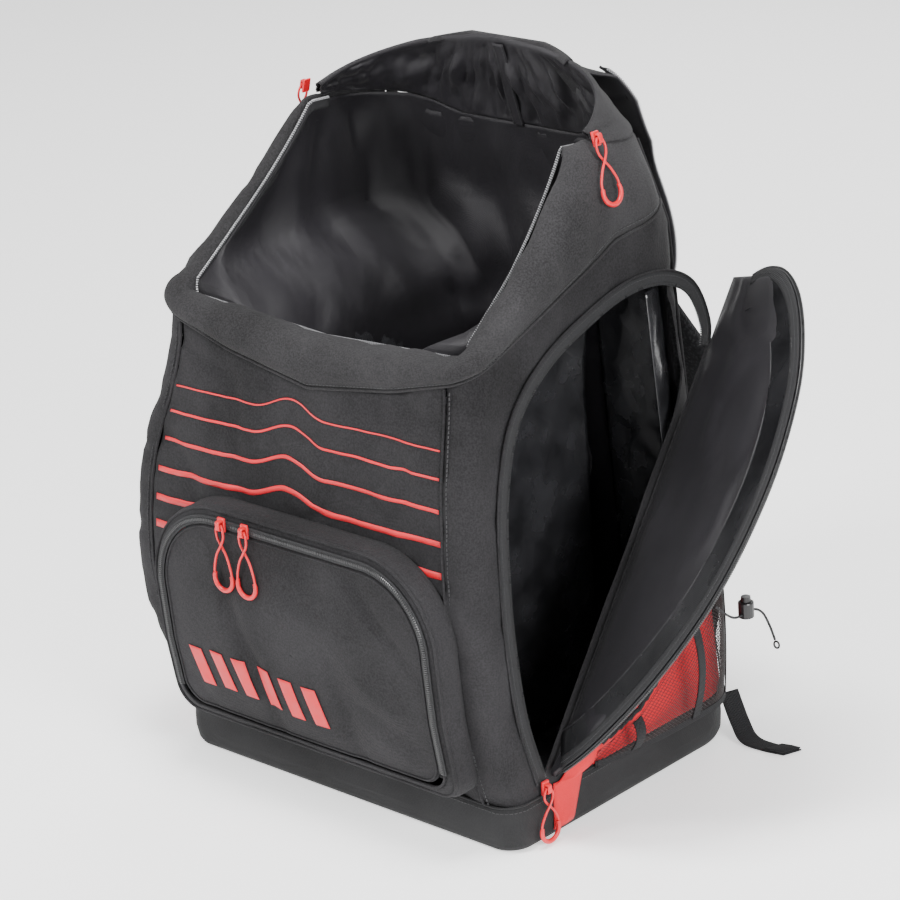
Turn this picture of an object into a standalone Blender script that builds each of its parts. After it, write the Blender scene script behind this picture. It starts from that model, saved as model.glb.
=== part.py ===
"""Ski boot backpack standing open: lid folded back, right boot door folded out, left door and front pocket shut.

Metres, +Z up, the front panel faces -Y and the harness +Y. The origin is the middle of the base, on the ground.
"""
import math

import bmesh
import bpy
import numpy as np
from mathutils import Matrix, Vector

# ---------------------------------------------------------------- driving dimensions
SECTION_Z = (0.0, 0.010, 0.510, 0.600, 0.668)
HALF_WIDTH = (0.2100, 0.2135, 0.1901, 0.1780, 0.1400)
REAR_Y = (0.1800, 0.1830, 0.1630, 0.1420, 0.1200)
REAR_RADIUS = (0.066, 0.070, 0.070, 0.080, 0.090)
# the front bellies out between the base and the mouth
FRONT_Z = (0.0, 0.010, 0.046, 0.090, 0.140, 0.200, 0.280, 0.350, 0.420, 0.510, 0.600, 0.668)
FRONT_Y = (-0.157, -0.160, -0.161, -0.170, -0.178, -0.182, -0.180, -0.173, -0.160, -0.150, -0.140, -0.100)
FRONT_RADIUS = 0.024
LEFT_BULGE = 0.040  # the filled left compartment pushes its wall and door out
BULGE_START = 0.012
BULGE_SPAN = 0.245
GAP = 0.0004  # clear gap kept between neighbouring pieces
SEAM_GAP = {1: 0.0008, -1: 0.0030}  # at the front seams, wider where the left wall bulges

BASE_TOP = 0.046
PANEL_BOTTOM = BASE_TOP + GAP
FABRIC = 0.0025
PADDED_BACK = 0.009
BACK_TOP = 0.575
SIDE_END = 3.5  # where a side panel meets the back panel, on the outline's 0 to 5 scale

# The right door in the plane of the side wall, as (y, z); the left one mirrors it.
HINGE_LOW = (-0.118, 0.048)
HINGE_HIGH = (0.170, 0.405)
DOOR_OUTLINE = (
    (-0.112, 0.0665), (-0.127, 0.115), (-0.135, 0.180), (-0.134, 0.240), (-0.124, 0.300), (-0.100, 0.360),
    (-0.062, 0.418), (-0.010, 0.466), (0.040, 0.491), (0.090, 0.503), (0.132, 0.500), (0.160, 0.484),
    (0.176, 0.462),
)
OPENING_OUTLINE = (
    (-0.113, 0.062), (-0.128, 0.120), (-0.134, 0.180), (-0.134, 0.250), (-0.126, 0.330), (-0.102, 0.395),
    (-0.055, 0.434), (0.010, 0.458), (0.060, 0.468), (0.105, 0.464), (0.138, 0.446), (0.153, 0.412),
    (0.150, 0.390),
)
DOOR_OPEN = math.radians(68)
DOOR_THICK = 0.0028
DOOR_STANDOFF = {1: 0.0022, -1: 0.0050}  # side wall's outer face to the door's inner face, over the zip tape

POCKET_HALF = 0.182
POCKET_LOW = 0.058
POCKET_HIGH = 0.288
POCKET_RADIUS = 0.088
POCKET_DEPTH = 0.026
POCKET_BORDER = 0.017

LID_HINGE = (0.0, 0.1425, 0.5805)  # the riser leans forward about this line
RISER_TOP = 0.6530
LID_FOLD = (0.0, 0.1320, 0.6600)  # the lid folds over the riser's top about this one
RISER_END = 3.7  # where the riser starts, on the outline's 0 to 5 scale
LID_DROP = ((0.1345, 0.6575), (0.1500, 0.6270), (0.1680, 0.5800), (0.1850, 0.5230), (0.1980, 0.4480), (0.2055, 0.3850))
LID_SHARES = (0.0, 0.12, 0.25, 0.40, 0.60, 1.0)
LID_HALVES = (0.080, 0.112, 0.138, 0.150, 0.140, 0.124)
MESH_TOP = ((0.0, 0.19, 0.5, 0.8, 1.0), (0.060, 0.086, 0.158, 0.248, 0.262))  # top edge, from the front end back
BACK_PAD_SIZE = (0.080, 0.014, 0.230)
BACK_PAD_X, BACK_PAD_Z = 0.052, 0.215
LID_WRAP = 0.020  # the lid's corners come forward round the back by this much

MOUTH_SLIDER = 2.90  # place on the outline's 0 to 5 scale
DOOR_SLIDER = (-0.1185, 0.0555)  # (y, z) at the low end of the door's zip
DOOR_SLIDER_OUT = 0.0040
POCKET_SLIDER_X = {"pocket_slider_left": -0.078, "pocket_slider_right": -0.048}
STERNUM = (0.1080, 0.2245, 0.298)  # top of the right strap's hanging half
STERNUM_LENGTH = 0.090

DIVIDER_X = 0.070
WIRE = 0.0013  # radius of a pull's wire core

# ---------------------------------------------------------------- scene and materials
for old in list(bpy.data.objects):
    bpy.data.objects.remove(old, do_unlink=True)

parts = bpy.data.collections.new("ski_boot_bag")
cutters = bpy.data.collections.new("cutters")
for collection in (parts, cutters):
    bpy.context.scene.collection.children.link(collection)


def material(name, colour, roughness, metallic=0.0):
    made = bpy.data.materials.new(name)
    made.use_nodes = True
    shader = made.node_tree.nodes["Principled BSDF"]
    shader.inputs["Base Color"].default_value = (*colour, 1.0)
    shader.inputs["Roughness"].default_value = roughness
    shader.inputs["Metallic"].default_value = metallic
    return made


SHELL = material("shell_fabric", (0.045, 0.045, 0.048), 0.85)
LINING = material("lining_fabric", (0.030, 0.030, 0.034), 0.60)
BASE = material("base_fabric", (0.038, 0.038, 0.040), 0.80)
TARPAULIN = material("tarpaulin", (0.012, 0.012, 0.013), 0.22)
RED = material("red_plastic", (0.75, 0.06, 0.07), 0.45)
MESH = material("mesh_fabric", (0.32, 0.02, 0.03), 0.75)
WEBBING = material("webbing", (0.018, 0.018, 0.020), 0.70)
ZIP = material("zip_tape", (0.055, 0.055, 0.058), 0.60)
PLASTIC = material("black_plastic", (0.014, 0.014, 0.015), 0.40)
FOAM = material("padding", (0.030, 0.030, 0.033), 0.90)


# ---------------------------------------------------------------- shared geometry
def section(z):
    """Half width, front, rear and rear corner radius of the body at height z."""
    half, rear, rear_r = (float(np.interp(z, SECTION_Z, row)) for row in (HALF_WIDTH, REAR_Y, REAR_RADIUS))
    return half, float(np.interp(z, FRONT_Z, FRONT_Y)), rear, rear_r


def hinge_frame(y, z):
    """Distance along the door's fold line and, squared to it, up and forward from it, in the side wall's plane."""
    dy, dz = HINGE_HIGH[0] - HINGE_LOW[0], HINGE_HIGH[1] - HINGE_LOW[1]
    length = math.hypot(dy, dz)
    y, z = y - HINGE_LOW[0], z - HINGE_LOW[1]
    return (y * dy + z * dz) / length, (z * dy - y * dz) / length


def off_hinge(along, away):
    """The (y, z) that hinge_frame turns into these two distances."""
    dy, dz = HINGE_HIGH[0] - HINGE_LOW[0], HINGE_HIGH[1] - HINGE_LOW[1]
    length = math.hypot(dy, dz)
    return (HINGE_LOW[0] + (along * dy - away * dz) / length, HINGE_LOW[1] + (along * dz + away * dy) / length)


def ease(start, end, value):
    """Smooth step from 0 at start to 1 at end."""
    share = min(1.0, max(0.0, (value - start) / (end - start)))
    return share * share * (3 - 2 * share)


def left_bulge(y, z):
    """How far the left wall stands out from its flat plane: a dome over the door that dies out at its fold."""
    away = hinge_frame(y, z)[1] - BULGE_START
    if not 0 < away < BULGE_SPAN:
        return 0.0
    return LEFT_BULGE * math.sin(math.pi * away / BULGE_SPAN) * ease(0.46, 0.30, z) * ease(0.050, 0.120, z)


def wall(p, z, inset=0.0):
    """Point of the body's outline at height z. p runs 0 to 5 from the front's middle round the right side to the
    back's middle, in five stretches: front, front corner, side, rear corner, back. Negative p is the left side."""
    half, front, rear, rear_r = section(z)
    half, front, rear = half - inset, front + inset, rear - inset
    front_r = max(FRONT_RADIUS - inset, 0.003)
    rear_r = max(rear_r - inset, 0.003)
    hand, q = math.copysign(1, p), abs(p)
    puff = left_bulge(front + front_r, z) if hand < 0 else 0.0
    if q <= 1:
        x, y = q * (half - front_r), front
        puff *= q
    elif q <= 2:
        turn = math.radians(90 * (q - 1))
        x, y = half - front_r + front_r * math.sin(turn), front + front_r - front_r * math.cos(turn)
    elif q <= 3:
        x, y = half, front + front_r + (q - 2) * (rear - rear_r - front - front_r)
        puff = left_bulge(y, z) if hand < 0 else 0.0
    elif q <= 4:
        turn = math.radians(90 * (q - 3))
        x, y = half - rear_r + rear_r * math.cos(turn), rear - rear_r + rear_r * math.sin(turn)
        puff = left_bulge(y, z) * max(0.0, 1 - 2 * (q - 3)) if hand < 0 else 0.0
    else:
        x, y = (5 - q) * (half - rear_r), rear
        puff = 0.0
    return Vector((hand * (x + puff), y, z))


def side_point(y, z, out=0.0, hand=1):
    """Point on the flat side wall, moved outwards by out. Its plane leans in by the section table's slope."""
    lean = (HALF_WIDTH[1] - HALF_WIDTH[2]) / (SECTION_Z[2] - SECTION_Z[1])
    along = math.hypot(1, lean)
    x = HALF_WIDTH[1] - lean * (z - SECTION_Z[1]) + (left_bulge(y, z) if hand < 0 else 0.0)
    return Vector((hand * (x + out / along), y, z + out * lean / along))


def side_normal(hand=1):
    return (side_point(0, 0.2, 1, hand) - side_point(0, 0.2, 0, hand)).normalized()


def smooth_outline(outline, per=2):
    return [(v.x, v.y) for v in smooth([(a, b, 0) for a, b in outline], per)]


def grown(outline, by):
    """The outline moved by this much in its own plane, away from the fold line's middle."""
    middle = Vector(((HINGE_LOW[0] + HINGE_HIGH[0]) / 2, (HINGE_LOW[1] + HINGE_HIGH[1]) / 2))
    pts = [Vector(p) for p in outline]
    out = []
    for i, point in enumerate(pts):
        along = pts[min(i + 1, len(pts) - 1)] - pts[max(i - 1, 0)]
        away = Vector((along.y, -along.x)).normalized()
        out.append(point + away * by * math.copysign(1, away.dot(point - middle)))
    return out


def smooth(points, per=6):
    """Catmull-Rom curve through the points, with per steps in each span."""
    pts = [Vector(p) for p in points]
    pts = [2 * pts[0] - pts[1], *pts, 2 * pts[-1] - pts[-2]]
    out = []
    for a, b, c, d in zip(pts, pts[1:], pts[2:], pts[3:]):
        for i in range(per):
            t = i / per
            out.append(0.5 * (2 * b + (c - a) * t + (2 * a - 5 * b + 4 * c - d) * t**2
                              + (3 * b - a - 3 * c + d) * t**3))
    return [*out, pts[-2]]


def spread(start, end, count):
    return [start + (end - start) * i / (count - 1) for i in range(count)]


def finish(name, mesh_or_bmesh, mat, collection=parts):
    if isinstance(mesh_or_bmesh, bmesh.types.BMesh):
        mesh = bpy.data.meshes.new(name)
        mesh_or_bmesh.to_mesh(mesh)
        mesh_or_bmesh.free()
    else:
        mesh = mesh_or_bmesh
    obj = bpy.data.objects.new(name, mesh)
    collection.objects.link(obj)
    obj.data.materials.append(mat)
    obj.data.shade_smooth()
    obj.data.set_sharp_from_angle(angle=math.radians(35))
    return obj


def solidify(obj, thickness, offset=-1.0):
    made = obj.modifiers.new("thickness", "SOLIDIFY")
    made.thickness = thickness
    made.offset = offset
    made.use_even_offset = True
    return obj


def sheet(name, point, columns, rows, thickness, mat, offset=-1.0, ring=False):
    """Cloth panel: the grid point(u, v) over columns and rows, thickened inwards. A ring closes on itself."""
    made = bmesh.new()
    grid = [[made.verts.new(point(u, v)) for u in columns] for v in rows]
    count = len(columns)
    for low, high in zip(grid, grid[1:]):
        for i in range(count if ring else count - 1):
            j = (i + 1) % count
            made.faces.new((low[i], low[j], high[j], high[i]))
    return solidify(finish(name, made, mat), thickness, offset)


def ribbon(name, path, sides, width, thickness, mat):
    """Flat strap of this width along path. sides gives the across direction at each point, or once for all."""
    if isinstance(sides, Vector):
        sides = [sides] * len(path)
    made = bmesh.new()
    pairs = []
    for point, side in zip(path, sides):
        half = side.normalized() * width / 2
        pairs.append((made.verts.new(point - half), made.verts.new(point + half)))
    for (a, b), (c, d) in zip(pairs, pairs[1:]):
        made.faces.new((a, b, d, c))
    return solidify(finish(name, made, mat), thickness, 0.0)


def band(name, one, other, thickness, mat):
    """Flat tape between two edge curves."""
    made = bmesh.new()
    pairs = [(made.verts.new(a), made.verts.new(b)) for a, b in zip(one, other)]
    for (a, b), (c, d) in zip(pairs, pairs[1:]):
        made.faces.new((a, b, d, c))
    return solidify(finish(name, made, mat), thickness, 0.0)


def plate(name, outline, thickness, normal, mat, collection=parts):
    """Flat piece: a closed outline, thickened along the normal from the outline's plane."""
    made = bmesh.new()
    face = made.faces.new([made.verts.new(p) for p in outline])
    face.normal_update()
    if face.normal.dot(normal) < 0:
        face.normal_flip()
    raised = bmesh.ops.extrude_face_region(made, geom=[face])["geom"]
    bmesh.ops.translate(made, verts=[e for e in raised if isinstance(e, bmesh.types.BMVert)], vec=normal * thickness)
    bmesh.ops.recalc_face_normals(made, faces=made.faces)
    return finish(name, made, mat, collection)


def tube(name, path, radius, mat, cyclic=False, resolution=2):
    curve = bpy.data.curves.new(name, "CURVE")
    curve.dimensions = "3D"
    curve.bevel_depth = radius
    curve.bevel_resolution = resolution
    curve.use_fill_caps = not cyclic
    line = curve.splines.new("POLY")
    line.points.add(len(path) - 1)
    for at, point in zip(line.points, path):
        at.co = (*point, 1)
    line.use_cyclic_u = cyclic
    obj = bpy.data.objects.new(name, curve)
    parts.objects.link(obj)
    curve.materials.append(mat)
    return obj


def box(name, size, centre, mat, bevel=0.001, turn=None, collection=parts):
    made = bmesh.new()
    bmesh.ops.create_cube(made, size=1.0, matrix=Matrix.Diagonal((*size, 1.0)))
    obj = finish(name, made, mat, collection)
    obj.matrix_world = Matrix.Translation(centre) @ (turn or Matrix()).to_4x4()
    rounded = obj.modifiers.new("rounding", "BEVEL")
    rounded.width = bevel
    rounded.segments = 2
    return obj


def boolean(obj, other, operation="DIFFERENCE"):
    """Cuts the other solid out of obj, or joins it on."""
    other.hide_render = True
    other.display_type = "WIRE"
    made = obj.modifiers.new(operation.lower(), "BOOLEAN")
    made.operation = operation
    made.solver = "EXACT"
    made.object = other


def pivot(name, place, turn=None):
    """Empty on a joint's axis. Its turn carries what hangs on it from the made position to the rest position."""
    empty = bpy.data.objects.new(name, None)
    empty.empty_display_size = 0.02
    empty.matrix_world = Matrix.Translation(place) @ (turn or Matrix())
    parts.objects.link(empty)
    return empty


def hang(empty, place, *objects):
    """Parents pieces that were made in place to the empty at this joint's point."""
    for obj in objects:
        made_at = obj.matrix_world.copy()
        obj.parent = empty
        obj.matrix_basis = Matrix.Translation(-Vector(place)) @ made_at


# ---------------------------------------------------------------- base and body panels
def make_base():
    ring = spread(-5, 5, 61)[:-1]
    made = bmesh.new()
    rows = [[made.verts.new(wall(p, z)) for p in ring] for z in (0.0, 0.010, BASE_TOP)]
    for low, high in zip(rows, rows[1:]):
        for i in range(len(ring)):
            j = (i + 1) % len(ring)
            made.faces.new((low[i], low[j], high[j], high[i]))
    made.faces.new(rows[0][::-1])
    solidify(finish("base_tub", made, BASE), FABRIC)
    board = [wall(p, 0.010, inset=0.012) for p in ring]
    plate("base_board", [Vector((v.x, v.y, FABRIC + GAP)) for v in board], 0.003, Vector((0, 0, 1)), PLASTIC)


def front_seam_x(z):
    """Where the front panel meets the side panels: the seam swings in at half height."""
    return float(np.interp(z, (0.046, 0.14, 0.28, 0.44), (0.180, 0.172, 0.168, 0.164)))


def yoke_seam_z(p):
    """Height of the seam between the mouth yoke and the panels below."""
    return float(np.interp(abs(p), (0, 0.6, 1, 2, 2.8, SIDE_END), (0.408, 0.424, 0.442, 0.456, 0.520, 0.530)))


def rim_z(p):
    return float(np.interp(abs(p), (0, 1, 2, 2.76, SIDE_END), (0.455, 0.464, 0.478, 0.612, 0.600)))


def make_front():
    def point(u, v):
        top = yoke_seam_z(u * 0.95) - GAP
        z = PANEL_BOTTOM + (top - PANEL_BOTTOM) * v
        return wall(u * front_seam_x(z) / (section(z)[0] - FRONT_RADIUS), z)

    sheet("front_panel", point, spread(-1, 1, 17), spread(0, 1, 13), FABRIC, SHELL)


def make_side(hand, name):
    """Side panel: from the front seam, round the front corner, to the rear corner, with the door opening cut out."""
    def point(u, v):
        z_end = yoke_seam_z(max(u, 1.0)) - GAP
        z = PANEL_BOTTOM + (z_end - PANEL_BOTTOM) * v
        if u < 1:
            half = section(z)[0]
            u = (front_seam_x(z) + SEAM_GAP[hand]) / (half - FRONT_RADIUS)
        return wall(hand * u, z)

    columns = [0.9, 1.0, 1.33, 1.67, *spread(2, 3, 9 if hand > 0 else 19), 3.17, 3.33, SIDE_END]
    panel = sheet(name, point, columns[::hand], spread(0, 1, 15 if hand > 0 else 23), FABRIC, SHELL)
    normal = side_normal(hand)
    outline = [Vector((hand * HALF_WIDTH[1], y, z)) - normal * 0.03 for y, z in OPENING_OUTLINE]
    boolean(panel, plate(name + "_cutter", outline, 0.10, normal, SHELL, cutters))


def make_yoke():
    """Band round the mouth, from its seam up to the rolled rim and a short way down inside."""
    shape = ((0.0, 0.0), (0.35, -0.007), (0.75, -0.004), (0.95, 0.004), (1.0, 0.012), (0.95, 0.019), (0.70, 0.022))

    def point(u, v):
        rise, inset = shape[v]
        low, high = yoke_seam_z(u) + 3 * GAP, rim_z(u)
        end = np.interp(abs(u), (3.2, SIDE_END), (1.0, 0.0))
        z = low + (high - low) * rise
        return wall(u, z, inset * (end if inset < 0 else 1))

    half = [*spread(0, 1, 5)[1:], 1.33, 1.67, *spread(2, 3, 7), 3.17, 3.33, SIDE_END]
    sheet("mouth_yoke", point, [-u for u in half[::-1]] + [0] + half, range(len(shape)), 0.002, SHELL)


def make_back():
    start = SIDE_END + 0.012

    def point(u, v):
        top = float(np.interp(min(u, 10 - u), (SIDE_END, 3.9), (0.595, BACK_TOP)))
        return wall(u if u <= 5 else u - 10, PANEL_BOTTOM + (top - PANEL_BOTTOM) * v)

    columns = [start, 3.67, 3.83, 4, 4.4, 4.8, 5.2, 5.6, 6, 6.17, 6.33, 10 - start]
    sheet("back_panel", point, columns, spread(0, 1, 9), PADDED_BACK, FOAM)
    for hand, name in ((1, "back_pad_right"), (-1, "back_pad_left")):
        tilt = Matrix.Rotation(math.atan(0.04), 3, "X")
        middle = Vector((hand * BACK_PAD_X, section(BACK_PAD_Z)[2] + 0.0082, BACK_PAD_Z))
        pad = box(name, BACK_PAD_SIZE, middle, FOAM, 0.006, tilt)
        pad.modifiers["rounding"].segments = 3


def make_divider(hand, name):
    """Inner wall and roof of one boot compartment, one bent sheet of coated cloth."""
    bend = ((DIVIDER_X, 0.008), (DIVIDER_X, 0.10), (DIVIDER_X, 0.22), (DIVIDER_X, 0.34), (0.080, 0.400),
            (0.105, 0.440), (0.140, 0.464), (None, 0.470))

    def point(u, v):
        x, z = bend[v]
        half, _, rear, rear_r = section(z)
        y = max(u, float(np.interp(z, (0.38, 0.46), (u, -0.108))))
        if x is None:
            over = max(0.0, y - (rear - rear_r))
            x = half - rear_r + math.sqrt(rear_r**2 - over**2) - FABRIC - 0.002
        return Vector((hand * x, y, z))

    sheet(name, point, spread(-0.146, 0.130, 9)[::-hand], range(len(bend)), 0.0015, TARPAULIN)


# ---------------------------------------------------------------- boot doors
def door_hinge(hand):
    """Low end of the door's fold line, in the door's inner face, and the line's direction."""
    low = side_point(*HINGE_LOW, DOOR_STANDOFF[hand], hand)
    high = side_point(*HINGE_HIGH, DOOR_STANDOFF[hand], hand)
    return low, (high - low).normalized()


def make_door(hand, word):
    low, axis = door_hinge(hand)
    turn = Matrix.Rotation(DOOR_OPEN, 4, axis) if hand > 0 else Matrix()
    hinge = pivot(f"{word}_door_hinge", low, turn)
    edge = [hinge_frame(*p) for p in smooth_outline(DOOR_OUTLINE)]
    reach = [a for a, _ in edge], [d for _, d in edge]

    def point(u, v):
        away = float(np.interp(u, *reach))
        return side_point(*off_hinge(u, 0.003 + (away - 0.003) * v), DOOR_STANDOFF[hand], hand)

    stops = [edge[0][0] + (edge[-1][0] - edge[0][0]) * (0.5 - 0.5 * math.cos(math.pi * k / 14)) for k in range(15)]
    door = sheet(f"{word}_door", point, stops[::hand], (0, 0.12, 0.3, 0.5, 0.75, 1), DOOR_THICK, SHELL, 1.0)
    out = DOOR_STANDOFF[hand] + DOOR_THICK + (0.0009 if hand > 0 else 0.0028)
    rim = smooth_outline(DOOR_OUTLINE)
    bands = [[side_point(*p, out, hand) for p in grown(rim, by)][1:-1] for by in (-0.001, -0.012)]
    hang(hinge, low, door, band(f"{word}_door_zip", *bands, 0.0008, ZIP))
    rim = smooth_outline(OPENING_OUTLINE)
    out = 0.0011 if hand > 0 else 0.0024
    bands = [[side_point(*p, out, hand) for p in grown(rim, by)] for by in (0.0005, 0.0105)]
    band(f"{word}_opening_zip", *bands, 0.0008, ZIP)


def across(path, normal):
    """Direction in the plane across a path at each of its points, pointing into the outline it goes round."""
    middle = sum(path, Vector()) / len(path)
    out = []
    for i, point in enumerate(path):
        along = path[min(i + 1, len(path) - 1)] - path[max(i - 1, 0)]
        side = along.cross(normal).normalized()
        out.append(side if side.dot(middle - point) > 0 else -side)
    return out


def make_accent(hand, word):
    """Bright strip on the side panel just under the door's fold."""
    corners = ((-0.088, 0.052), (-0.050, 0.052), (0.004, 0.076), (0.093, 0.148), (0.1145, 0.283), (0.010, 0.1535),
               (-0.078, 0.0665))
    outline = [side_point(y, z, 0.0010, hand) for y, z in corners]
    plate(f"{word}_accent_strip", outline, 0.0008, side_normal(hand), RED)


# ---------------------------------------------------------------- mesh side pockets
def mesh_point(u, v, out=0.0):
    """Point of the right mesh pocket: u from its front end round the rear corner, v up from the base seam."""
    p = 2.36 + (SIDE_END - 0.04 - 2.36) * u
    top = float(np.interp(u, *MESH_TOP))
    z = 0.0495 + (top - 0.0495) * v
    bulge = 0.030 * math.sin(math.pi * min(1.0, 1.1 * u)) ** 0.7 * (0.25 + 0.75 * math.sin(math.pi * (0.08 + 0.62 * v)))
    on = wall(p, z)
    outward = (wall(p, z, -0.01) - wall(p, z)).normalized()
    return on + outward * (0.0030 + bulge + out)


def make_mesh_pocket(hand, word):
    def point(u, v):
        spot = mesh_point(u, v)
        return Vector((hand * spot.x, spot.y, spot.z))

    sheet(f"{word}_mesh_pocket", point, spread(0.0, 0.985, 13)[::hand], spread(0, 1, 8), 0.0014, MESH, 0.0)
    hem = [mesh_point(u, 1.0) + Vector((0, 0, 0.0076)) for u in spread(0.03, 0.97, 15)]
    tube(f"{word}_mesh_hem", [Vector((hand * p.x, p.y, p.z)) for p in hem], 0.0025, WEBBING)


def rod(name, radius, depth, place, mat=PLASTIC, collection=parts, top_radius=None, turn=None):
    made = bmesh.new()
    bmesh.ops.create_cone(made, cap_ends=True, segments=16, radius1=radius, radius2=top_radius or radius, depth=depth)
    obj = finish(name, made, mat, collection)
    obj.matrix_world = Matrix.Translation(place) @ (turn or Matrix())
    return obj


def make_cord_lock():
    """Cord lock on the right pocket: barrel, sprung button, draw cord and its end bead."""
    centre = Vector((0.2560, 0.128, 0.150))
    hole = centre - Vector((0, 0, 0.004))
    barrel = rod("cord_lock_barrel", 0.0075, 0.016, centre)
    rounded = barrel.modifiers.new("rounding", "BEVEL")
    rounded.width, rounded.segments, rounded.limit_method = 0.0012, 2, "ANGLE"
    boolean(barrel, rod("cord_lock_well", 0.0056, 0.014, centre + Vector((0, 0, 0.0075)), collection=cutters))
    across_hole = Matrix.Rotation(math.pi / 2, 4, "X")
    boolean(barrel, rod("cord_lock_hole", 0.0022, 0.030, hole, collection=cutters, turn=across_hole))
    place = centre + Vector((0, 0, 0.0085))
    button = rod("cord_lock_button", 0.0052, 0.0090, place, top_radius=0.0046)
    hang(pivot("cord_lock_slide", place), place, button)
    route = ((-0.004, -0.040, 0.020), (-0.001, -0.022, 0.004), (0, -0.010, 0), (0, 0.010, 0), (0.003, 0.020, -0.006),
             (0.006, 0.026, -0.020), (0.009, 0.030, -0.036))
    tail = smooth([hole + Vector(step) for step in route], 4)
    tube("draw_cord", tail, 0.0012, WEBBING)
    made = bmesh.new()
    bmesh.ops.create_uvsphere(made, u_segments=10, v_segments=6, radius=0.0042)
    finish("cord_end", made, PLASTIC).location = tail[-1] + Vector((0.0012, 0.0007, -0.0052))


# ---------------------------------------------------------------- front pocket
def pocket_outline(inset):
    """D outline of the front pocket as (x, z), from the low right corner anticlockwise round to the low left."""
    half, low, high = POCKET_HALF - inset, POCKET_LOW + inset * 0.8, POCKET_HIGH - inset
    big, small = POCKET_RADIUS - inset, 0.022
    out = [(half - small + small * math.sin(math.radians(a)), low + small - small * math.cos(math.radians(a)))
           for a in (0, 30, 60, 90)]
    out += [(half, z) for z in spread(low + small, high - big, 6)[1:-1]]
    out += [(half - big + big * math.cos(math.radians(a)), high - big + big * math.sin(math.radians(a)))
            for a in spread(0, 90, 7)]
    out += [(0.03, high)]
    return out + [(-x, z) for x, z in out[::-1]]


def pocket_sheet(name, rings, mat, filled=False):
    """Loft through (inset, y) rings of the pocket outline. filled closes the last ring as a face."""
    made = bmesh.new()
    rows = []
    for inset, depth in rings:
        rows.append([made.verts.new((x, section(z)[1] - depth, z)) for x, z in pocket_outline(inset)])
    for low, high in zip(rows, rows[1:]):
        for i in range(len(low)):
            j = (i + 1) % len(low)
            made.faces.new((low[i], low[j], high[j], high[i]))
    if filled:
        made.faces.new(rows[-1])
    bmesh.ops.recalc_face_normals(made, faces=made.faces)
    return finish(name, made, mat)


def make_pocket():
    shell = pocket_sheet("front_pocket_shell", (
        (0.0, 0.0014), (0.0, POCKET_DEPTH - 0.006), (0.005, POCKET_DEPTH), (POCKET_BORDER, POCKET_DEPTH + 0.002)), SHELL)
    solidify(shell, 0.0018)
    flap = pocket_sheet("front_pocket_flap", (
        (POCKET_BORDER + 0.0008, POCKET_DEPTH + 0.0022), (POCKET_BORDER + 0.016, POCKET_DEPTH + 0.0042),
        (POCKET_BORDER + 0.036, POCKET_DEPTH + 0.0055)), SHELL, filled=True)
    solidify(flap, FABRIC)
    z = POCKET_LOW + POCKET_BORDER * 0.8 + 0.001
    hinge = Vector((0.0, section(z)[1] - POCKET_DEPTH - 0.0032, z))
    hang(pivot("front_pocket_hinge", hinge), hinge, flap)
    # coil zip over the gap, all round the arch and down to both low corners
    line = pocket_outline(POCKET_BORDER - 0.0045)[3:-3]
    path = [Vector((x, section(z)[1] - POCKET_DEPTH - 0.0028, z)) for x, z in line]
    ribbon("front_pocket_zip", path, across(path, Vector((0, -1, 0))), 0.008, 0.0008, ZIP)


# ---------------------------------------------------------------- zip sliders and their pulls
def make_slider(name, place, out, pull_length, down):
    """Slider with a bridge, and a loop pull through it that points down at rest. out is away from the fabric."""
    down = down.normalized()
    side = out.cross(down).normalized()
    out = down.cross(side)
    curve = bpy.data.curves.new(name, "CURVE")
    curve.dimensions = "2D"
    curve.fill_mode = "BOTH"
    curve.extrude = 0.0045
    body = ((-0.0070, 0.0), (0.0070, 0.0), (0.0070, 0.0030), (0.0045, 0.0080), (-0.0045, 0.0080), (-0.0070, 0.0030))
    bridge = ((-0.0033, 0.0030), (0.0033, 0.0030), (0.0024, 0.0068), (-0.0024, 0.0068))
    for points in (body, bridge):
        line = curve.splines.new("POLY")
        line.points.add(len(points) - 1)
        for at, (a, b) in zip(line.points, points):
            at.co = (a, b, 0, 1)
        line.use_cyclic_u = True
    flat = bpy.data.objects.new(name + "_flat", curve)
    parts.objects.link(flat)
    mesh = bpy.data.meshes.new_from_object(flat.evaluated_get(bpy.context.evaluated_depsgraph_get()))
    bpy.data.objects.remove(flat, do_unlink=True)
    made = bmesh.new()
    made.from_mesh(mesh)
    bmesh.ops.remove_doubles(made, verts=made.verts, dist=1e-6)
    bmesh.ops.recalc_face_normals(made, faces=made.faces)
    slider = finish(name, made, RED)
    # the profile's x runs down, its y outwards, and its thickness across
    slider.matrix_world = Matrix.Translation(place) @ Matrix((down, out, down.cross(out))).transposed().to_4x4()
    eye = place + out * 0.0049
    half_top, half_end = 0.0078, 0.0115
    reach = pull_length - half_end
    leg = [(half_top + (half_end - half_top) * t, reach * t) for t in (0.12, 0.55)]
    loop = [(-half_top, 0.0), (half_top, 0.0)] + leg
    loop += [(half_end * math.cos(a), reach + half_end * math.sin(a)) for a in spread(0, math.pi, 9)]
    loop += [(-a, b) for a, b in leg[::-1]]
    word = name.replace("slider", "pull")
    pull = tube(word, [eye + side * a + down * b for a, b in loop], WIRE, RED, cyclic=True)
    hang(pivot(word + "_axis", eye), eye, pull)


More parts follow.
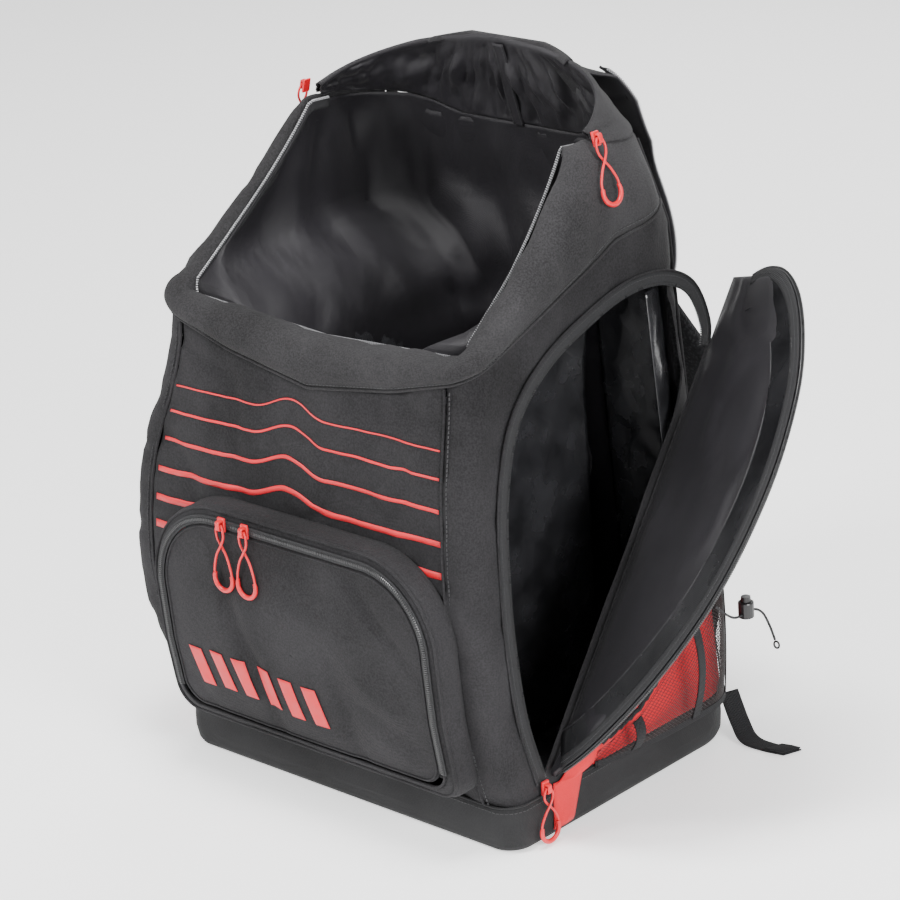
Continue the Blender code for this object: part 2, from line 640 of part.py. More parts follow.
def make_sliders():
    z = POCKET_HIGH - POCKET_BORDER + 0.0045
    y = section(z)[1] - POCKET_DEPTH - 0.0036
    for name, x in POCKET_SLIDER_X.items():
        make_slider(name, Vector((x, y, z)), Vector((0, -1, 0)), 0.064, Vector((0, 0, -1)))
    for hand, word in ((1, "right"), (-1, "left")):
        rim = wall(hand * MOUTH_SLIDER, rim_z(MOUTH_SLIDER) + 0.004, -0.0075)
        make_slider(f"mouth_slider_{word}", rim, Vector((hand, 0, 0)), 0.060, Vector((hand * 0.26, 0, -1)))
        foot = side_point(*DOOR_SLIDER, DOOR_SLIDER_OUT, hand)
        make_slider(f"{word}_door_slider", foot, side_normal(hand), 0.052, Vector((0, 0, -1)))


# ---------------------------------------------------------------- lid
def lid_point(u, v, steps):
    """Point of the hanging lid: u across from -1 to 1, v steps down from the fold."""
    share = v / (len(steps) - 1)
    half = float(np.interp(share, LID_SHARES, LID_HALVES)) * math.sqrt(1 - 0.75 * max(0.0, (share - 0.72) / 0.28) ** 3)
    wrap = LID_WRAP * ease(0.10, 0.42, share) * ease(0.75, 0.45, share)
    return Vector((u * half, steps[v].x - wrap * u * u, steps[v].y))


def make_lid():
    """Rear riser that stands up behind the mouth, and the lid folded back and hanging behind it."""
    def riser_point(u, v):
        q = min(u, 10 - u)
        high = float(np.interp(q, (RISER_END, 4.0), (RISER_TOP - 0.012, RISER_TOP)))
        low = float(np.interp(q, (RISER_END, 4.3), (0.6040, LID_HINGE[2] - 0.001)))
        return wall(u if u <= 5 else u - 10, low + (high - low) * v)

    columns = [RISER_END, 3.83, 4, 4.3, 4.6]
    riser = sheet("lid_riser", riser_point, columns + [5] + [10 - c for c in columns[::-1]], spread(0, 1, 5),
                  0.003, LINING)
    hinge = Vector(LID_HINGE)
    hang(pivot("lid_riser_hinge", hinge), hinge, riser)

    steps = smooth([(y, z, 0) for y, z in LID_DROP], 3)
    rows = range(len(steps))
    lid = sheet("lid_panel", lambda u, v: lid_point(u, v, steps), spread(-1, 1, 11), rows, 0.004, SHELL, 0.0)
    edge = [lid_point(0.955, v, steps) + Vector((0, 0.0050, 0)) for v in rows[5:]]
    edge += [Vector((-p.x, p.y, p.z)) for p in edge[::-1]]
    inward = [Vector((-s.x, 0, -s.z)) for s in across(edge, Vector((0, 1, 0)))]
    zip_half = ribbon("lid_zip", edge, inward, 0.010, 0.0008, ZIP)
    fold = Vector(LID_FOLD)
    hang(pivot("lid_fold", fold), fold, lid, zip_half)


def make_mouth_zip():
    """Zip half round the mouth's rim, lying on the rolled edge from one slider to the other."""
    marks = [*spread(0, 1, 5)[1:], 1.33, 1.67, *spread(2, 2.9, 7)]
    marks = [-m for m in marks[::-1]] + [0] + marks
    path = [wall(m, rim_z(m) - 0.006, 0.0262) for m in marks]
    ribbon("mouth_zip", path, Vector((0, 0, 1)), 0.010, 0.0008, ZIP)


# ---------------------------------------------------------------- harness
def webbing(name, hand, route, across_it, width=0.020, thickness=0.0014):
    """Flat strap along a smooth curve through the right side's route, mirrored on the left."""
    path = smooth([(hand * x, y, z) for x, y, z in route], 3)
    return ribbon(name, path, Vector((hand * across_it[0], *across_it[1:])), width, thickness, WEBBING)


def make_harness(hand, word):
    route = ((0.066, 0.1705, 0.500), (0.084, 0.1735, 0.455), (0.112, 0.1830, 0.410), (0.138, 0.2030, 0.355),
             (0.150, 0.2250, 0.290), (0.150, 0.2210, 0.225), (0.150, 0.2110, 0.180))
    strap = webbing(f"{word}_shoulder_strap", hand, route, (1, 0, 0), 0.058, 0.010)
    strap.data.materials[0] = FOAM
    lock = Vector((hand * 0.150, 0.2080, 0.1605))
    ladder = box(f"{word}_ladder_lock", (0.034, 0.0050, 0.026), lock, PLASTIC, 0.0012)
    slot = lock - Vector((0, 0, 0.006))
    boolean(ladder, box(f"{word}_ladder_slot", (0.026, 0.020, 0.0060), slot, PLASTIC, 0.0005, collection=cutters))
    route = ((0.150, 0.2120, 0.1440), (0.150, 0.2060, 0.100), (0.150, 0.1930, 0.055), (0.150, 0.1865, 0.030),
             (0.150, 0.1860, 0.014))
    webbing(f"{word}_lower_webbing", hand, route, (1, 0, 0))
    route = ((0.205, 0.160, 0.040), (0.224, 0.152, 0.016), (0.240, 0.146, 0.0042), (0.262, 0.148, 0.0012),
             (0.286, 0.152, 0.0012))
    webbing(f"{word}_webbing_tail", hand, route, (0.35, 0.94, 0))


def make_haul_loop():
    half = ((0.0, 0.1790, 0.5200), (0.014, 0.1785, 0.5200), (0.030, 0.1715, 0.5140), (0.034, 0.1660, 0.5040))
    path = smooth([(-x, y, z) for x, y, z in half[:0:-1]] + list(half), 3)
    ribbon("haul_loop", path, Vector((0, -0.04, 1)), 0.018, 0.0026, WEBBING)


def make_sternum(hand, word):
    """One half of the sternum strap, unbuckled: it hangs from the shoulder strap's inner edge."""
    top = Vector((hand * STERNUM[0], *STERNUM[1:]))
    hinge = top + Vector((hand * 0.0085, 0, 0.002))
    drop = [top - Vector((0, 0, d)) for d in spread(0, STERNUM_LENGTH, 5)]
    pieces = [ribbon(f"sternum_strap_{word}", drop, Vector((1, 0, 0)), 0.020, 0.0014, WEBBING)]
    end = drop[-1] - Vector((0, 0, GAP))
    if hand > 0:
        socket = box("buckle_socket", (0.026, 0.0080, 0.026), end - Vector((0, 0, 0.013)), PLASTIC, 0.0012)
        cavity = end - Vector((0, 0, 0.017))
        boolean(socket, box("buckle_cavity", (0.0210, 0.0048, 0.026), cavity, PLASTIC, 0.0003, collection=cutters))
        pieces.append(socket)
    else:
        plug = box("buckle_plug", (0.0240, 0.0075, 0.018), end - Vector((0, 0, 0.009)), PLASTIC, 0.0010)
        for number, x in enumerate((-0.0072, 0.0, 0.0072)):
            prong = end + Vector((x, 0, -0.026))
            boolean(plug, box(f"buckle_prong_{number}", (0.0032, 0.0036, 0.0200), prong, PLASTIC, 0.0004,
                              collection=cutters), "UNION")
        pieces.append(plug)
    hang(pivot(f"sternum_{word}_hinge", hinge), hinge, *pieces)


# ---------------------------------------------------------------- the object
make_base()
make_front()
make_yoke()
make_back()
make_mouth_zip()
for sign, side_word in ((1, "right"), (-1, "left")):
    make_side(sign, f"{side_word}_side_panel")
    make_divider(sign, f"{side_word}_boot_divider")
    make_door(sign, side_word)
    make_accent(sign, side_word)
    make_mesh_pocket(sign, side_word)
    make_harness(sign, side_word)
    make_sternum(sign, side_word)
make_cord_lock()
make_pocket()
make_sliders()
make_lid()
make_haul_loop()
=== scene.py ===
"""Ski boot backpack: the cloth, zips, webbing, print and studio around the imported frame.

Metres, +Z up, the front panel faces -Y. The outline functions repeat the frame's own, so each cloth piece
lies where its plain solid lies. hand is 1 on the right side and -1 on the left.
"""
import math

import bmesh
import bpy
import numpy as np
from mathutils import Matrix, Vector, noise


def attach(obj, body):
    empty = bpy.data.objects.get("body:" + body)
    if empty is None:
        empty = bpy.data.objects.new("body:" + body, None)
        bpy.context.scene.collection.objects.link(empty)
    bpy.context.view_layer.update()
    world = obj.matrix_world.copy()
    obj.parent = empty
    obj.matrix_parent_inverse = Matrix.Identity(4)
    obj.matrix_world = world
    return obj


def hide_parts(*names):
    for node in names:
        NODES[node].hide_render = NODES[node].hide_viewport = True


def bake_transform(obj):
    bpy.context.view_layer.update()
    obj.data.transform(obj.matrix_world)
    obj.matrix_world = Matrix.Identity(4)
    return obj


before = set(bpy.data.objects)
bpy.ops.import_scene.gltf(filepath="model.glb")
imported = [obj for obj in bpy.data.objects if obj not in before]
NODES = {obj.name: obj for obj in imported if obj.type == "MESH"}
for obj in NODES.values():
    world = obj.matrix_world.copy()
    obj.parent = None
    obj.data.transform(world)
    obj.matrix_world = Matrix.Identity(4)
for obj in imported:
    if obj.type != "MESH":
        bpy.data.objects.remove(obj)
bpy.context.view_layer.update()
WORDS = {1: "right", -1: "left"}

# ---------------------------------------------------------------- the frame's outline
SECTION_Z = (0.0, 0.010, 0.510, 0.600, 0.668)
HALF_WIDTH = (0.2100, 0.2135, 0.1901, 0.1780, 0.1400)
REAR_Y = (0.1800, 0.1830, 0.1630, 0.1420, 0.1200)
REAR_RADIUS = (0.066, 0.070, 0.070, 0.080, 0.090)
FRONT_Z = (0.0, 0.010, 0.046, 0.090, 0.140, 0.200, 0.280, 0.350, 0.420, 0.510, 0.600, 0.668)
FRONT_Y = (-0.157, -0.160, -0.161, -0.170, -0.178, -0.182, -0.180, -0.173, -0.160, -0.150, -0.140, -0.100)
FRONT_RADIUS = 0.024
LEFT_BULGE, BULGE_START, BULGE_SPAN = 0.040, 0.012, 0.245
BASE_TOP = 0.046
SIDE_END = 3.5
HINGE_LOW, HINGE_HIGH = (-0.118, 0.048), (0.170, 0.405)
HINGE_LENGTH = math.dist(HINGE_LOW, HINGE_HIGH)
HINGE_DY, HINGE_DZ = ((high - low) / HINGE_LENGTH for low, high in zip(HINGE_LOW, HINGE_HIGH))
DOOR_OUTLINE = (
    (-0.112, 0.0665), (-0.127, 0.115), (-0.135, 0.180), (-0.134, 0.240), (-0.124, 0.300), (-0.100, 0.360),
    (-0.062, 0.418), (-0.010, 0.466), (0.040, 0.491), (0.090, 0.503), (0.132, 0.500), (0.160, 0.484),
    (0.176, 0.462),
)
OPENING_OUTLINE = (
    (-0.113, 0.062), (-0.128, 0.120), (-0.134, 0.180), (-0.134, 0.250), (-0.126, 0.330), (-0.102, 0.395),
    (-0.055, 0.434), (0.010, 0.458), (0.060, 0.468), (0.105, 0.464), (0.138, 0.446), (0.153, 0.412),
    (0.150, 0.390),
)
DOOR_OPEN = math.radians(68)
DOOR_THICK = 0.0028
DOOR_STANDOFF = {1: 0.0022, -1: 0.0050}
POCKET_HALF, POCKET_LOW, POCKET_HIGH = 0.182, 0.058, 0.288
POCKET_RADIUS, POCKET_DEPTH, POCKET_BORDER = 0.088, 0.026, 0.017
LID_DROP = ((0.1345, 0.6575), (0.1500, 0.6270), (0.1680, 0.5800), (0.1850, 0.5230), (0.1980, 0.4480),
            (0.2055, 0.3850))
LID_SHARES = (0.0, 0.12, 0.25, 0.40, 0.60, 1.0)
LID_HALVES = (0.080, 0.112, 0.138, 0.150, 0.140, 0.124)
LID_WRAP = 0.020
DIVIDER_X = 0.070
MESH_TOP = ((0.0, 0.19, 0.5, 0.8, 1.0), (0.060, 0.086, 0.158, 0.248, 0.262))


def lookup(value, marks, levels):
    """Straight-line reading of levels at this value between the marks."""
    return float(np.interp(value, marks, levels))


def section(z):
    """Half width, front, rear and rear corner radius of the body at height z."""
    half, rear, rear_r = (lookup(z, SECTION_Z, row) for row in (HALF_WIDTH, REAR_Y, REAR_RADIUS))
    return half, lookup(z, FRONT_Z, FRONT_Y), rear, rear_r


def ease(start, end, value):
    share = min(1.0, max(0.0, (value - start) / (end - start)))
    return share * share * (3 - 2 * share)


def hinge_frame(y, z):
    """Distance along the door's fold and, squared to it, up and forward from it, in the side wall's plane."""
    y, z = y - HINGE_LOW[0], z - HINGE_LOW[1]
    return y * HINGE_DY + z * HINGE_DZ, z * HINGE_DY - y * HINGE_DZ


def off_hinge(along, away):
    """The point with this hinge_frame()."""
    y, z = along * HINGE_DY - away * HINGE_DZ, along * HINGE_DZ + away * HINGE_DY
    return HINGE_LOW[0] + y, HINGE_LOW[1] + z


def left_bulge(y, z):
    away = hinge_frame(y, z)[1] - BULGE_START
    if not 0 < away < BULGE_SPAN:
        return 0.0
    return LEFT_BULGE * math.sin(math.pi * away / BULGE_SPAN) * ease(0.46, 0.30, z) * ease(0.050, 0.120, z)


def wall(p, z, inset=0.0):
    """Point of the body's outline at height z: p runs 0 to 5 from the front's middle round the right side to
    the back's middle, over front, front corner, side, rear corner and back. Negative p is the left."""
    half, front, rear, rear_r = section(z)
    half, front, rear = half - inset, front + inset, rear - inset
    front_r = max(FRONT_RADIUS - inset, 0.003)
    rear_r = max(rear_r - inset, 0.003)
    hand, q = math.copysign(1, p), abs(p)
    puff = left_bulge(front + front_r, z) if hand < 0 else 0.0
    if q <= 1:
        x, y = q * (half - front_r), front
        puff *= q
    elif q <= 2:
        turn = math.radians(90 * (q - 1))
        x, y = half - front_r + front_r * math.sin(turn), front + front_r - front_r * math.cos(turn)
    elif q <= 3:
        x, y = half, front + front_r + (q - 2) * (rear - rear_r - front - front_r)
        puff = left_bulge(y, z) if hand < 0 else 0.0
    elif q <= 4:
        turn = math.radians(90 * (q - 3))
        x, y = half - rear_r + rear_r * math.cos(turn), rear - rear_r + rear_r * math.sin(turn)
        puff = left_bulge(y, z) * max(0.0, 1 - 2 * (q - 3)) if hand < 0 else 0.0
    else:
        x, y = (5 - q) * (half - rear_r), rear
        puff = 0.0
    return Vector((hand * (x + puff), y, z))


def around(u, z, inset=0.0):
    """wall() with p running on past the back's middle, from 0 to 10."""
    return wall(u if u <= 5 else u - 10, z, inset)


def side_point(y, z, out=0.0, hand=1):
    lean = (HALF_WIDTH[1] - HALF_WIDTH[2]) / (SECTION_Z[2] - SECTION_Z[1])
    along = math.hypot(1, lean)
    x = HALF_WIDTH[1] - lean * (z - SECTION_Z[1]) + (left_bulge(y, z) if hand < 0 else 0.0)
    return Vector((hand * (x + out / along), y, z + out * lean / along))


def side_normal(hand):
    return (side_point(0, 0.2, 1, hand) - side_point(0, 0.2, 0, hand)).normalized()


def front_seam_x(z):
    return lookup(z, (0.046, 0.14, 0.28, 0.44), (0.180, 0.172, 0.168, 0.164))


def yoke_seam_z(p):
    return lookup(abs(p), (0, 0.6, 1, 2, 2.8, SIDE_END), (0.408, 0.424, 0.442, 0.456, 0.520, 0.530))


def rim_z(p):
    return lookup(abs(p), (0, 1, 2, 2.76, SIDE_END), (0.455, 0.464, 0.478, 0.612, 0.600))


def direction(path, i):
    """Along the path at its point i, not scaled."""
    return path[min(i + 1, len(path) - 1)] - path[max(i - 1, 0)]


def smooth(points, per=6):
    """Catmull-Rom curve through the points, with per steps in each span."""
    pts = [Vector(p) for p in points]
    pts = [2 * pts[0] - pts[1], *pts, 2 * pts[-1] - pts[-2]]
    out = []
    for a, b, c, d in zip(pts, pts[1:], pts[2:], pts[3:]):
        for i in range(per):
            t = i / per
            out.append(0.5 * (2 * b + (c - a) * t + (2 * a - 5 * b + 4 * c - d) * t**2
                              + (3 * b - a - 3 * c + d) * t**3))
    return [*out, pts[-2]]


def flat_smooth(outline, per):
    return [(v.x, v.y) for v in smooth([(a, b, 0) for a, b in outline], per)]


def grown(outline, by):
    """The outline moved by this much in its own plane, away from the fold line's middle."""
    middle = Vector(((HINGE_LOW[0] + HINGE_HIGH[0]) / 2, (HINGE_LOW[1] + HINGE_HIGH[1]) / 2))
    pts = [Vector(p) for p in outline]
    out = []
    for i, point in enumerate(pts):
        along = direction(pts, i)
        away = Vector((along.y, -along.x)).normalized()
        out.append(point + away * by * math.copysign(1, away.dot(point - middle)))
    return out


def spread(start, end, count):
    return [start + (end - start) * i / (count - 1) for i in range(count)]


def even(path, step):
    """The path again, with points this far apart."""
    pts = [Vector(p) for p in path]
    lengths = np.concatenate([[0], np.cumsum([(b - a).length for a, b in zip(pts, pts[1:])])])
    marks = np.linspace(0, lengths[-1], max(2, int(round(lengths[-1] / step)) + 1))
    table = np.array([list(p) for p in pts])
    return [Vector([lookup(m, lengths, table[:, k]) for k in range(3)]) for m in marks]


# ---------------------------------------------------------------- cloth relief
def wobble(point, size, seed=0.0):
    return noise.noise(Vector(point) / size + Vector((seed * 7.3, seed * 3.1, seed * 5.7)))


def upright(point, squeeze=0.3):
    """The point with its height squeezed, so that a wobble on it makes upright folds."""
    return Vector((point[0], point[1], point[2] * squeeze))


def crease(point, size, seed=0.0, width=0.16):
    """1 on thin lines that wander over the cloth, falling to 0 beside them."""
    return max(0.0, 1 - abs(wobble(point, size, seed)) / width)


def soft_relief(amount, size=0.06, seed=0.0):
    return lambda p: amount * (wobble(p, size, seed) + 0.35 * wobble(p, size / 3, seed + 1))


def panel_relief(seed=0.0, depth=0.0016):
    """Dents, folds and fine puckers of a panel, none of them deeper or higher than 3 mm."""
    def relief(p):
        height = 0.5 * wobble(upright(p, 0.5), 0.055, seed) - 0.6 * crease(p, 0.09, seed + 2)
        return 0.0030 * math.tanh(depth * (height + 0.25 * wobble(p, 0.018, seed + 4)) / 0.0030)
    return relief


def crinkle(amount, size=0.035, seed=0.0):
    """Sharp facets of stiff coated cloth."""
    def relief(p):
        cell = noise.voronoi(Vector(p) / size + Vector((seed, seed, seed)))[0]
        return amount * (cell[1] - cell[0] - 0.35 + 0.5 * wobble(p, size * 1.7, seed))
    return relief


# ---------------------------------------------------------------- mesh makers
def linked(name, data):
    """A new object with this data, in the scene."""
    obj = bpy.data.objects.new(name, data)
    bpy.context.scene.collection.objects.link(obj)
    return obj


def from_bmesh(name, made):
    mesh = bpy.data.meshes.new(name)
    made.to_mesh(mesh)
    made.free()
    return linked(name, mesh)


def new_object(name, verts, faces, mats, smooth_angle=50):
    mesh = bpy.data.meshes.new(name)
    mesh.from_pydata([tuple(v) for v in verts], [], faces)
    obj = linked(name, mesh)
    for mat in mats:
        mesh.materials.append(mat)
    mesh.shade_smooth()
    mesh.set_sharp_from_angle(angle=math.radians(smooth_angle))
    return obj


def settle(obj):
    """Applies the object's modifiers."""
    mesh = bpy.data.meshes.new_from_object(obj.evaluated_get(bpy.context.evaluated_depsgraph_get()))
    obj.modifiers.clear()
    old = obj.data
    obj.data = mesh
    bpy.data.meshes.remove(old)
    return obj


def normals_of(grid, ring):
    across = np.roll(grid, -1, 1) - np.roll(grid, 1, 1) if ring else np.gradient(grid, axis=1)
    up = np.gradient(grid, axis=0)
    out = np.cross(across, up)
    return out / np.maximum(np.linalg.norm(out, axis=2, keepdims=True), 1e-12)


def cloth(name, grid, mats, thickness=0.0016, offset=-1.0, relief=None, ring=False, flip=False, hem=None):
    """Cloth over a grid of points, rows by columns, moved along its normals by relief(point) and thickened.
    hem(row, column, rows, columns) scales the relief. Two materials are the outer and the inner face."""
    grid = np.array([[list(p) for p in row] for row in grid], float)
    rows, columns = grid.shape[:2]
    if relief:
        out = normals_of(grid, ring) * (-1 if flip else 1)
        for r in range(rows):
            for c in range(columns):
                share = hem(r, c, rows, columns) if hem else 1.0
                grid[r, c] += out[r, c] * relief(Vector(grid[r, c])) * share
    faces = []
    for r in range(rows - 1):
        for c in range(columns if ring else columns - 1):
            d = (c + 1) % columns
            face = (r * columns + c, r * columns + d, (r + 1) * columns + d, (r + 1) * columns + c)
            faces.append(face[::-1] if flip else face)
    obj = new_object(name, grid.reshape(-1, 3), faces, mats)
    if thickness:
        solid = obj.modifiers.new("thickness", "SOLIDIFY")
        solid.thickness = thickness
        solid.offset = offset
        solid.material_offset = len(mats) - 1
        settle(obj)
    return obj


def flat_edges(r, c, rows, columns):
    """Relief fades out towards the edges of a panel."""
    return min(1.0, min(r, rows - 1 - r, c, columns - 1 - c) / 3)


def frames_along(path, cyclic=False):
    """Tangent and two cross directions at each point, turning as little as they can."""
    count = len(path)
    out = []
    side = None
    for i in range(count):
        after = path[(i + 1) % count] if cyclic else path[min(i + 1, count - 1)]
        before = path[i - 1] if cyclic or i else path[0]
        along = (after - before).normalized()
        if side is None:
            side = along.cross(Vector((0.13, 0.21, 0.97))).normalized()
        side = (side - along * side.dot(along)).normalized()
        out.append((along, side, along.cross(side)))
    return out


def strands(name, runs, mat, sides=8):
    """Round strands in one mesh. A run is (path, radius or its function of the share along it, cyclic)."""
    verts, faces = [], []
    for path, radius, cyclic in runs:
        path = [Vector(p) for p in path]
        start = len(verts)
        for i, (point, (_, a, b)) in enumerate(zip(path, frames_along(path, cyclic))):
            r = radius(i / (len(path) - 1)) if callable(radius) else radius
            for k in range(sides):
                turn = 2 * math.pi * k / sides
                verts.append(point + a * r * math.cos(turn) + b * r * math.sin(turn))
        for i in range(len(path) if cyclic else len(path) - 1):
            one, other = start + i * sides, start + (i + 1) % len(path) * sides
            for k in range(sides):
                m = (k + 1) % sides
                faces.append((one + k, one + m, other + m, other + k))
        if not cyclic:
            faces.append(tuple(start + k for k in range(sides))[::-1])
            faces.append(tuple(start + (len(path) - 1) * sides + k for k in range(sides)))
    return new_object(name, verts, faces, [mat])


def facing(path, normal):
    """Direction across the path and square to the normal at each point."""
    return [direction(path, i).cross(normal).normalized() for i in range(len(path))]


DASH_CORNERS = ((-1, -1, 0), (1, -1, 0), (1, 1, 0), (-1, 1, 0),
                (-0.7, -0.8, 1), (0.7, -0.8, 1), (0.7, 0.8, 1), (-0.7, 0.8, 1))
DASH_FACES = ((3, 2, 1, 0), (4, 5, 6, 7), (0, 1, 5, 4), (1, 2, 6, 5), (2, 3, 7, 6), (3, 0, 4, 7))


def dashes(name, rows, mat, step, size):
    """Small blocks along paths, in one mesh: stitches or zip teeth. A row is (path, normal, shift across,
    shift out), with one normal or one for each point. size is (across, along, out)."""
    verts, faces = [], []
    for path, normal, shift, lift in rows:
        path = [Vector(p) for p in path]
        normal_list = normal if isinstance(normal, list) else [normal] * len(path)
        lengths = np.concatenate([[0], np.cumsum([(b - a).length for a, b in zip(path, path[1:])])])
        for mark in np.arange(step / 2, lengths[-1], step):
            i = min(int(np.searchsorted(lengths, mark)) - 1, len(path) - 2)
            t = (mark - lengths[i]) / max(lengths[i + 1] - lengths[i], 1e-9)
            along = (path[i + 1] - path[i]).normalized()
            out = normal_list[i].normalized()
            side = along.cross(out).normalized()
            middle = path[i].lerp(path[i + 1], t) + side * shift + out * lift
            base = len(verts)
            for a, b, c in DASH_CORNERS:
                verts.append(middle + side * a * size[0] / 2 + along * b * size[1] / 2 + out * c * size[2])
            faces += [tuple(base + k for k in face) for face in DASH_FACES]
    obj = new_object(name, verts, faces, [mat], 30)
    tidy_normals(obj)
    return obj


def tidy_normals(obj, close_ends=False):
    """Turns all faces outwards, and first closes open ends if asked."""
    made = bmesh.new()
    made.from_mesh(obj.data)
    if close_ends:
        bmesh.ops.holes_fill(made, edges=[e for e in made.edges if e.is_boundary])
    bmesh.ops.recalc_face_normals(made, faces=made.faces)
    made.to_mesh(obj.data)
    made.free()


def tape(name, path, across, width, thickness, mat, crown=0.0):
    """Flat strap along a path, five columns wide, crowned by this much."""
    rows = []
    for i, point in enumerate(path):
        side = (across[i] if isinstance(across, list) else across).normalized()
        out = side.cross(direction(path, i)).normalized()
        columns = [side * width * s + out * crown * (1 - 4 * s * s) for s in (-0.5, -0.3, 0, 0.3, 0.5)]
        rows.append([Vector(point) + column for column in columns])
    return cloth(name, rows, [mat], thickness, 0.0)


def between(name, one, other, mat, thickness=0.001, relief=None, columns=5, offset=0.0):
    """Cloth between two edge curves."""
    rows = [[a.lerp(b, t) for t in spread(0, 1, columns)] for a, b in zip(one, other)]
    return cloth(name, rows, [mat], thickness, offset, relief)


def put(obj, body, slot, *replaced):
    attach(obj, body)
    if replaced:
        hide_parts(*replaced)
    return obj


# ---------------------------------------------------------------- materials
def fill(inputs, values):
    for key, value in values.items():
        inputs[key].default_value = value


class Shader:
    """A Principled material, and the texture nodes that feed it."""

    def __init__(self, name, colour, roughness, sheen=0.0, coat=0.0, specular=0.5):
        self.material = bpy.data.materials.new(name)
        self.material.use_nodes = True
        self.nodes = self.material.node_tree.nodes
        self.links = self.material.node_tree.links
        self.inputs = self.nodes["Principled BSDF"].inputs
        self.coords = self.nodes.new("ShaderNodeTexCoord").outputs["Object"]
        fill(self.inputs, {"Base Color": (*colour, 1), "Roughness": roughness, "Sheen Weight": sheen,
                           "Sheen Roughness": 0.5, "Coat Weight": coat, "Specular IOR Level": specular})

    def texture(self, kind, scale, output="Fac", **values):
        made = self.nodes.new("ShaderNodeTex" + kind)
        self.links.new(self.coords, made.inputs["Vector"])
        fill(made.inputs, {"Scale": scale, **values})
        return made.outputs[output]

    def tone(self, source, dark, light, low=0.35, high=0.65):
        """The source's value as a colour between dark and light."""
        ramp = self.nodes.new("ShaderNodeValToRGB")
        stops = ramp.color_ramp.elements
        stops[0].position, stops[1].position = low, high
        stops[0].color, stops[1].color = (*dark, 1), (*light, 1)
        self.links.new(source, ramp.inputs["Fac"])
        return ramp.outputs["Color"]

    def bump(self, height, strength, distance, after=None):
        made = self.nodes.new("ShaderNodeBump")
        fill(made.inputs, {"Strength": strength, "Distance": distance})
        self.links.new(height, made.inputs["Height"])
        if after:
            self.links.new(after, made.inputs["Normal"])
        self.links.new(made.outputs["Normal"], self.inputs["Normal"])
        return made.outputs["Normal"]

    def total(self, sources):
        """The sources' values, added up."""
        total = sources[0]
        for source in sources[1:]:
            made = self.nodes.new("ShaderNodeMath")
            made.operation = "ADD"
            self.links.new(total, made.inputs[0])
            self.links.new(source, made.inputs[1])
            total = made.outputs["Value"]
        return total

    def weave(self, pitch):
        """Height of a plain weave of this pitch: bands along the three axes, added."""
        bands = []
        for axis in "XYZ":
            bands.append(self.texture("Wave", 0.314 / pitch))
            bands[-1].node.bands_direction = axis
        return self.total(bands)

    def feed(self, key, source):
        self.links.new(source, self.inputs[key])


def scaled(colour, by):
    return [min(1, c * by) for c in colour]


def fabric(name, dark, light, roughness, pitch=0.0009, depth=0.0003, sheen=0.02, grain=900, wear=0.25,
           specular=0.22):
    """Woven cloth: yarn colours mixed at yarn size, slow patches of tone, and a weave in the bump."""
    made = Shader(name, dark, roughness, sheen=sheen, specular=specular)
    yarn = made.texture("Noise", grain, Detail=3.0)
    patch = made.texture("Noise", 9.0, Detail=4.0)
    mix = made.nodes.new("ShaderNodeMix")
    mix.data_type = "RGBA"
    mix.inputs["Factor"].default_value = 0.45
    made.links.new(made.tone(yarn, dark, light), mix.inputs["A"])
    made.links.new(made.tone(patch, scaled(dark, 1 - wear), scaled(light, 1 + wear)), mix.inputs["B"])
    made.feed("Base Color", mix.outputs["Result"])
    made.bump(made.weave(pitch), 0.55, depth, made.bump(patch, 0.25, 0.004))
    return made.material


def plastic(name, colour, roughness, grain=0.00005):
    """Moulded plastic with a fine spark-eroded grain and faint scuffs in its gloss."""
    made = Shader(name, colour, roughness)
    speck = made.texture("Noise", 1400, Detail=2.0)
    scuff = made.texture("Noise", 60, Detail=5.0)
    gloss = (roughness,) * 3
    made.feed("Roughness", made.tone(scuff, scaled(gloss, 0.8), scaled(gloss, 1.25)))
    made.feed("Base Color", made.tone(scuff, scaled(colour, 0.9), scaled(colour, 1.08), 0.3, 0.7))
    made.bump(speck, 0.3, grain)
    return made.material


def coated(name, colour, roughness, depth, coat, size=45):
    """Tarpaulin: a glossy coat over crumpled cloth, with the scrim's weave faintly through it."""
    made = Shader(name, colour, roughness, coat=coat)
    made.inputs["Coat Roughness"].default_value = 0.12
    fold = made.texture("Voronoi", size, "Distance")
    patch = made.texture("Noise", size * 0.6, Detail=5.0)
    gloss = (roughness,) * 3
    made.feed("Roughness", made.tone(patch, scaled(gloss, 0.6), scaled(gloss, 1.6)))
    made.feed("Base Color", made.tone(patch, scaled(colour, 0.7), scaled(colour, 1.5)))
    made.bump(made.weave(0.0014), 0.25, 0.00015, made.bump(made.total([fold, patch]), 0.5, depth))
    return made.material


def ribbed(name, dark, light, roughness, pitch, depth):
    """Webbing and zip tape: a coarse rib over a fine yarn."""
    made = Shader(name, dark, roughness, specular=0.3)
    made.feed("Base Color", made.tone(made.texture("Noise", 1200, Detail=2.0), dark, light))
    made.bump(made.weave(pitch), 0.9, depth)
    return made.material


def spacer_mesh(name, dark, light):
    """Air mesh over foam: a honeycomb of small holes."""
    made = Shader(name, dark, 0.9, specular=0.2)
    cell = made.texture("Voronoi", 330, "Distance")
    made.feed("Base Color", made.tone(cell, light, dark, 0.1, 0.6))
    made.bump(cell, 0.8, -0.0008)
    return made.material


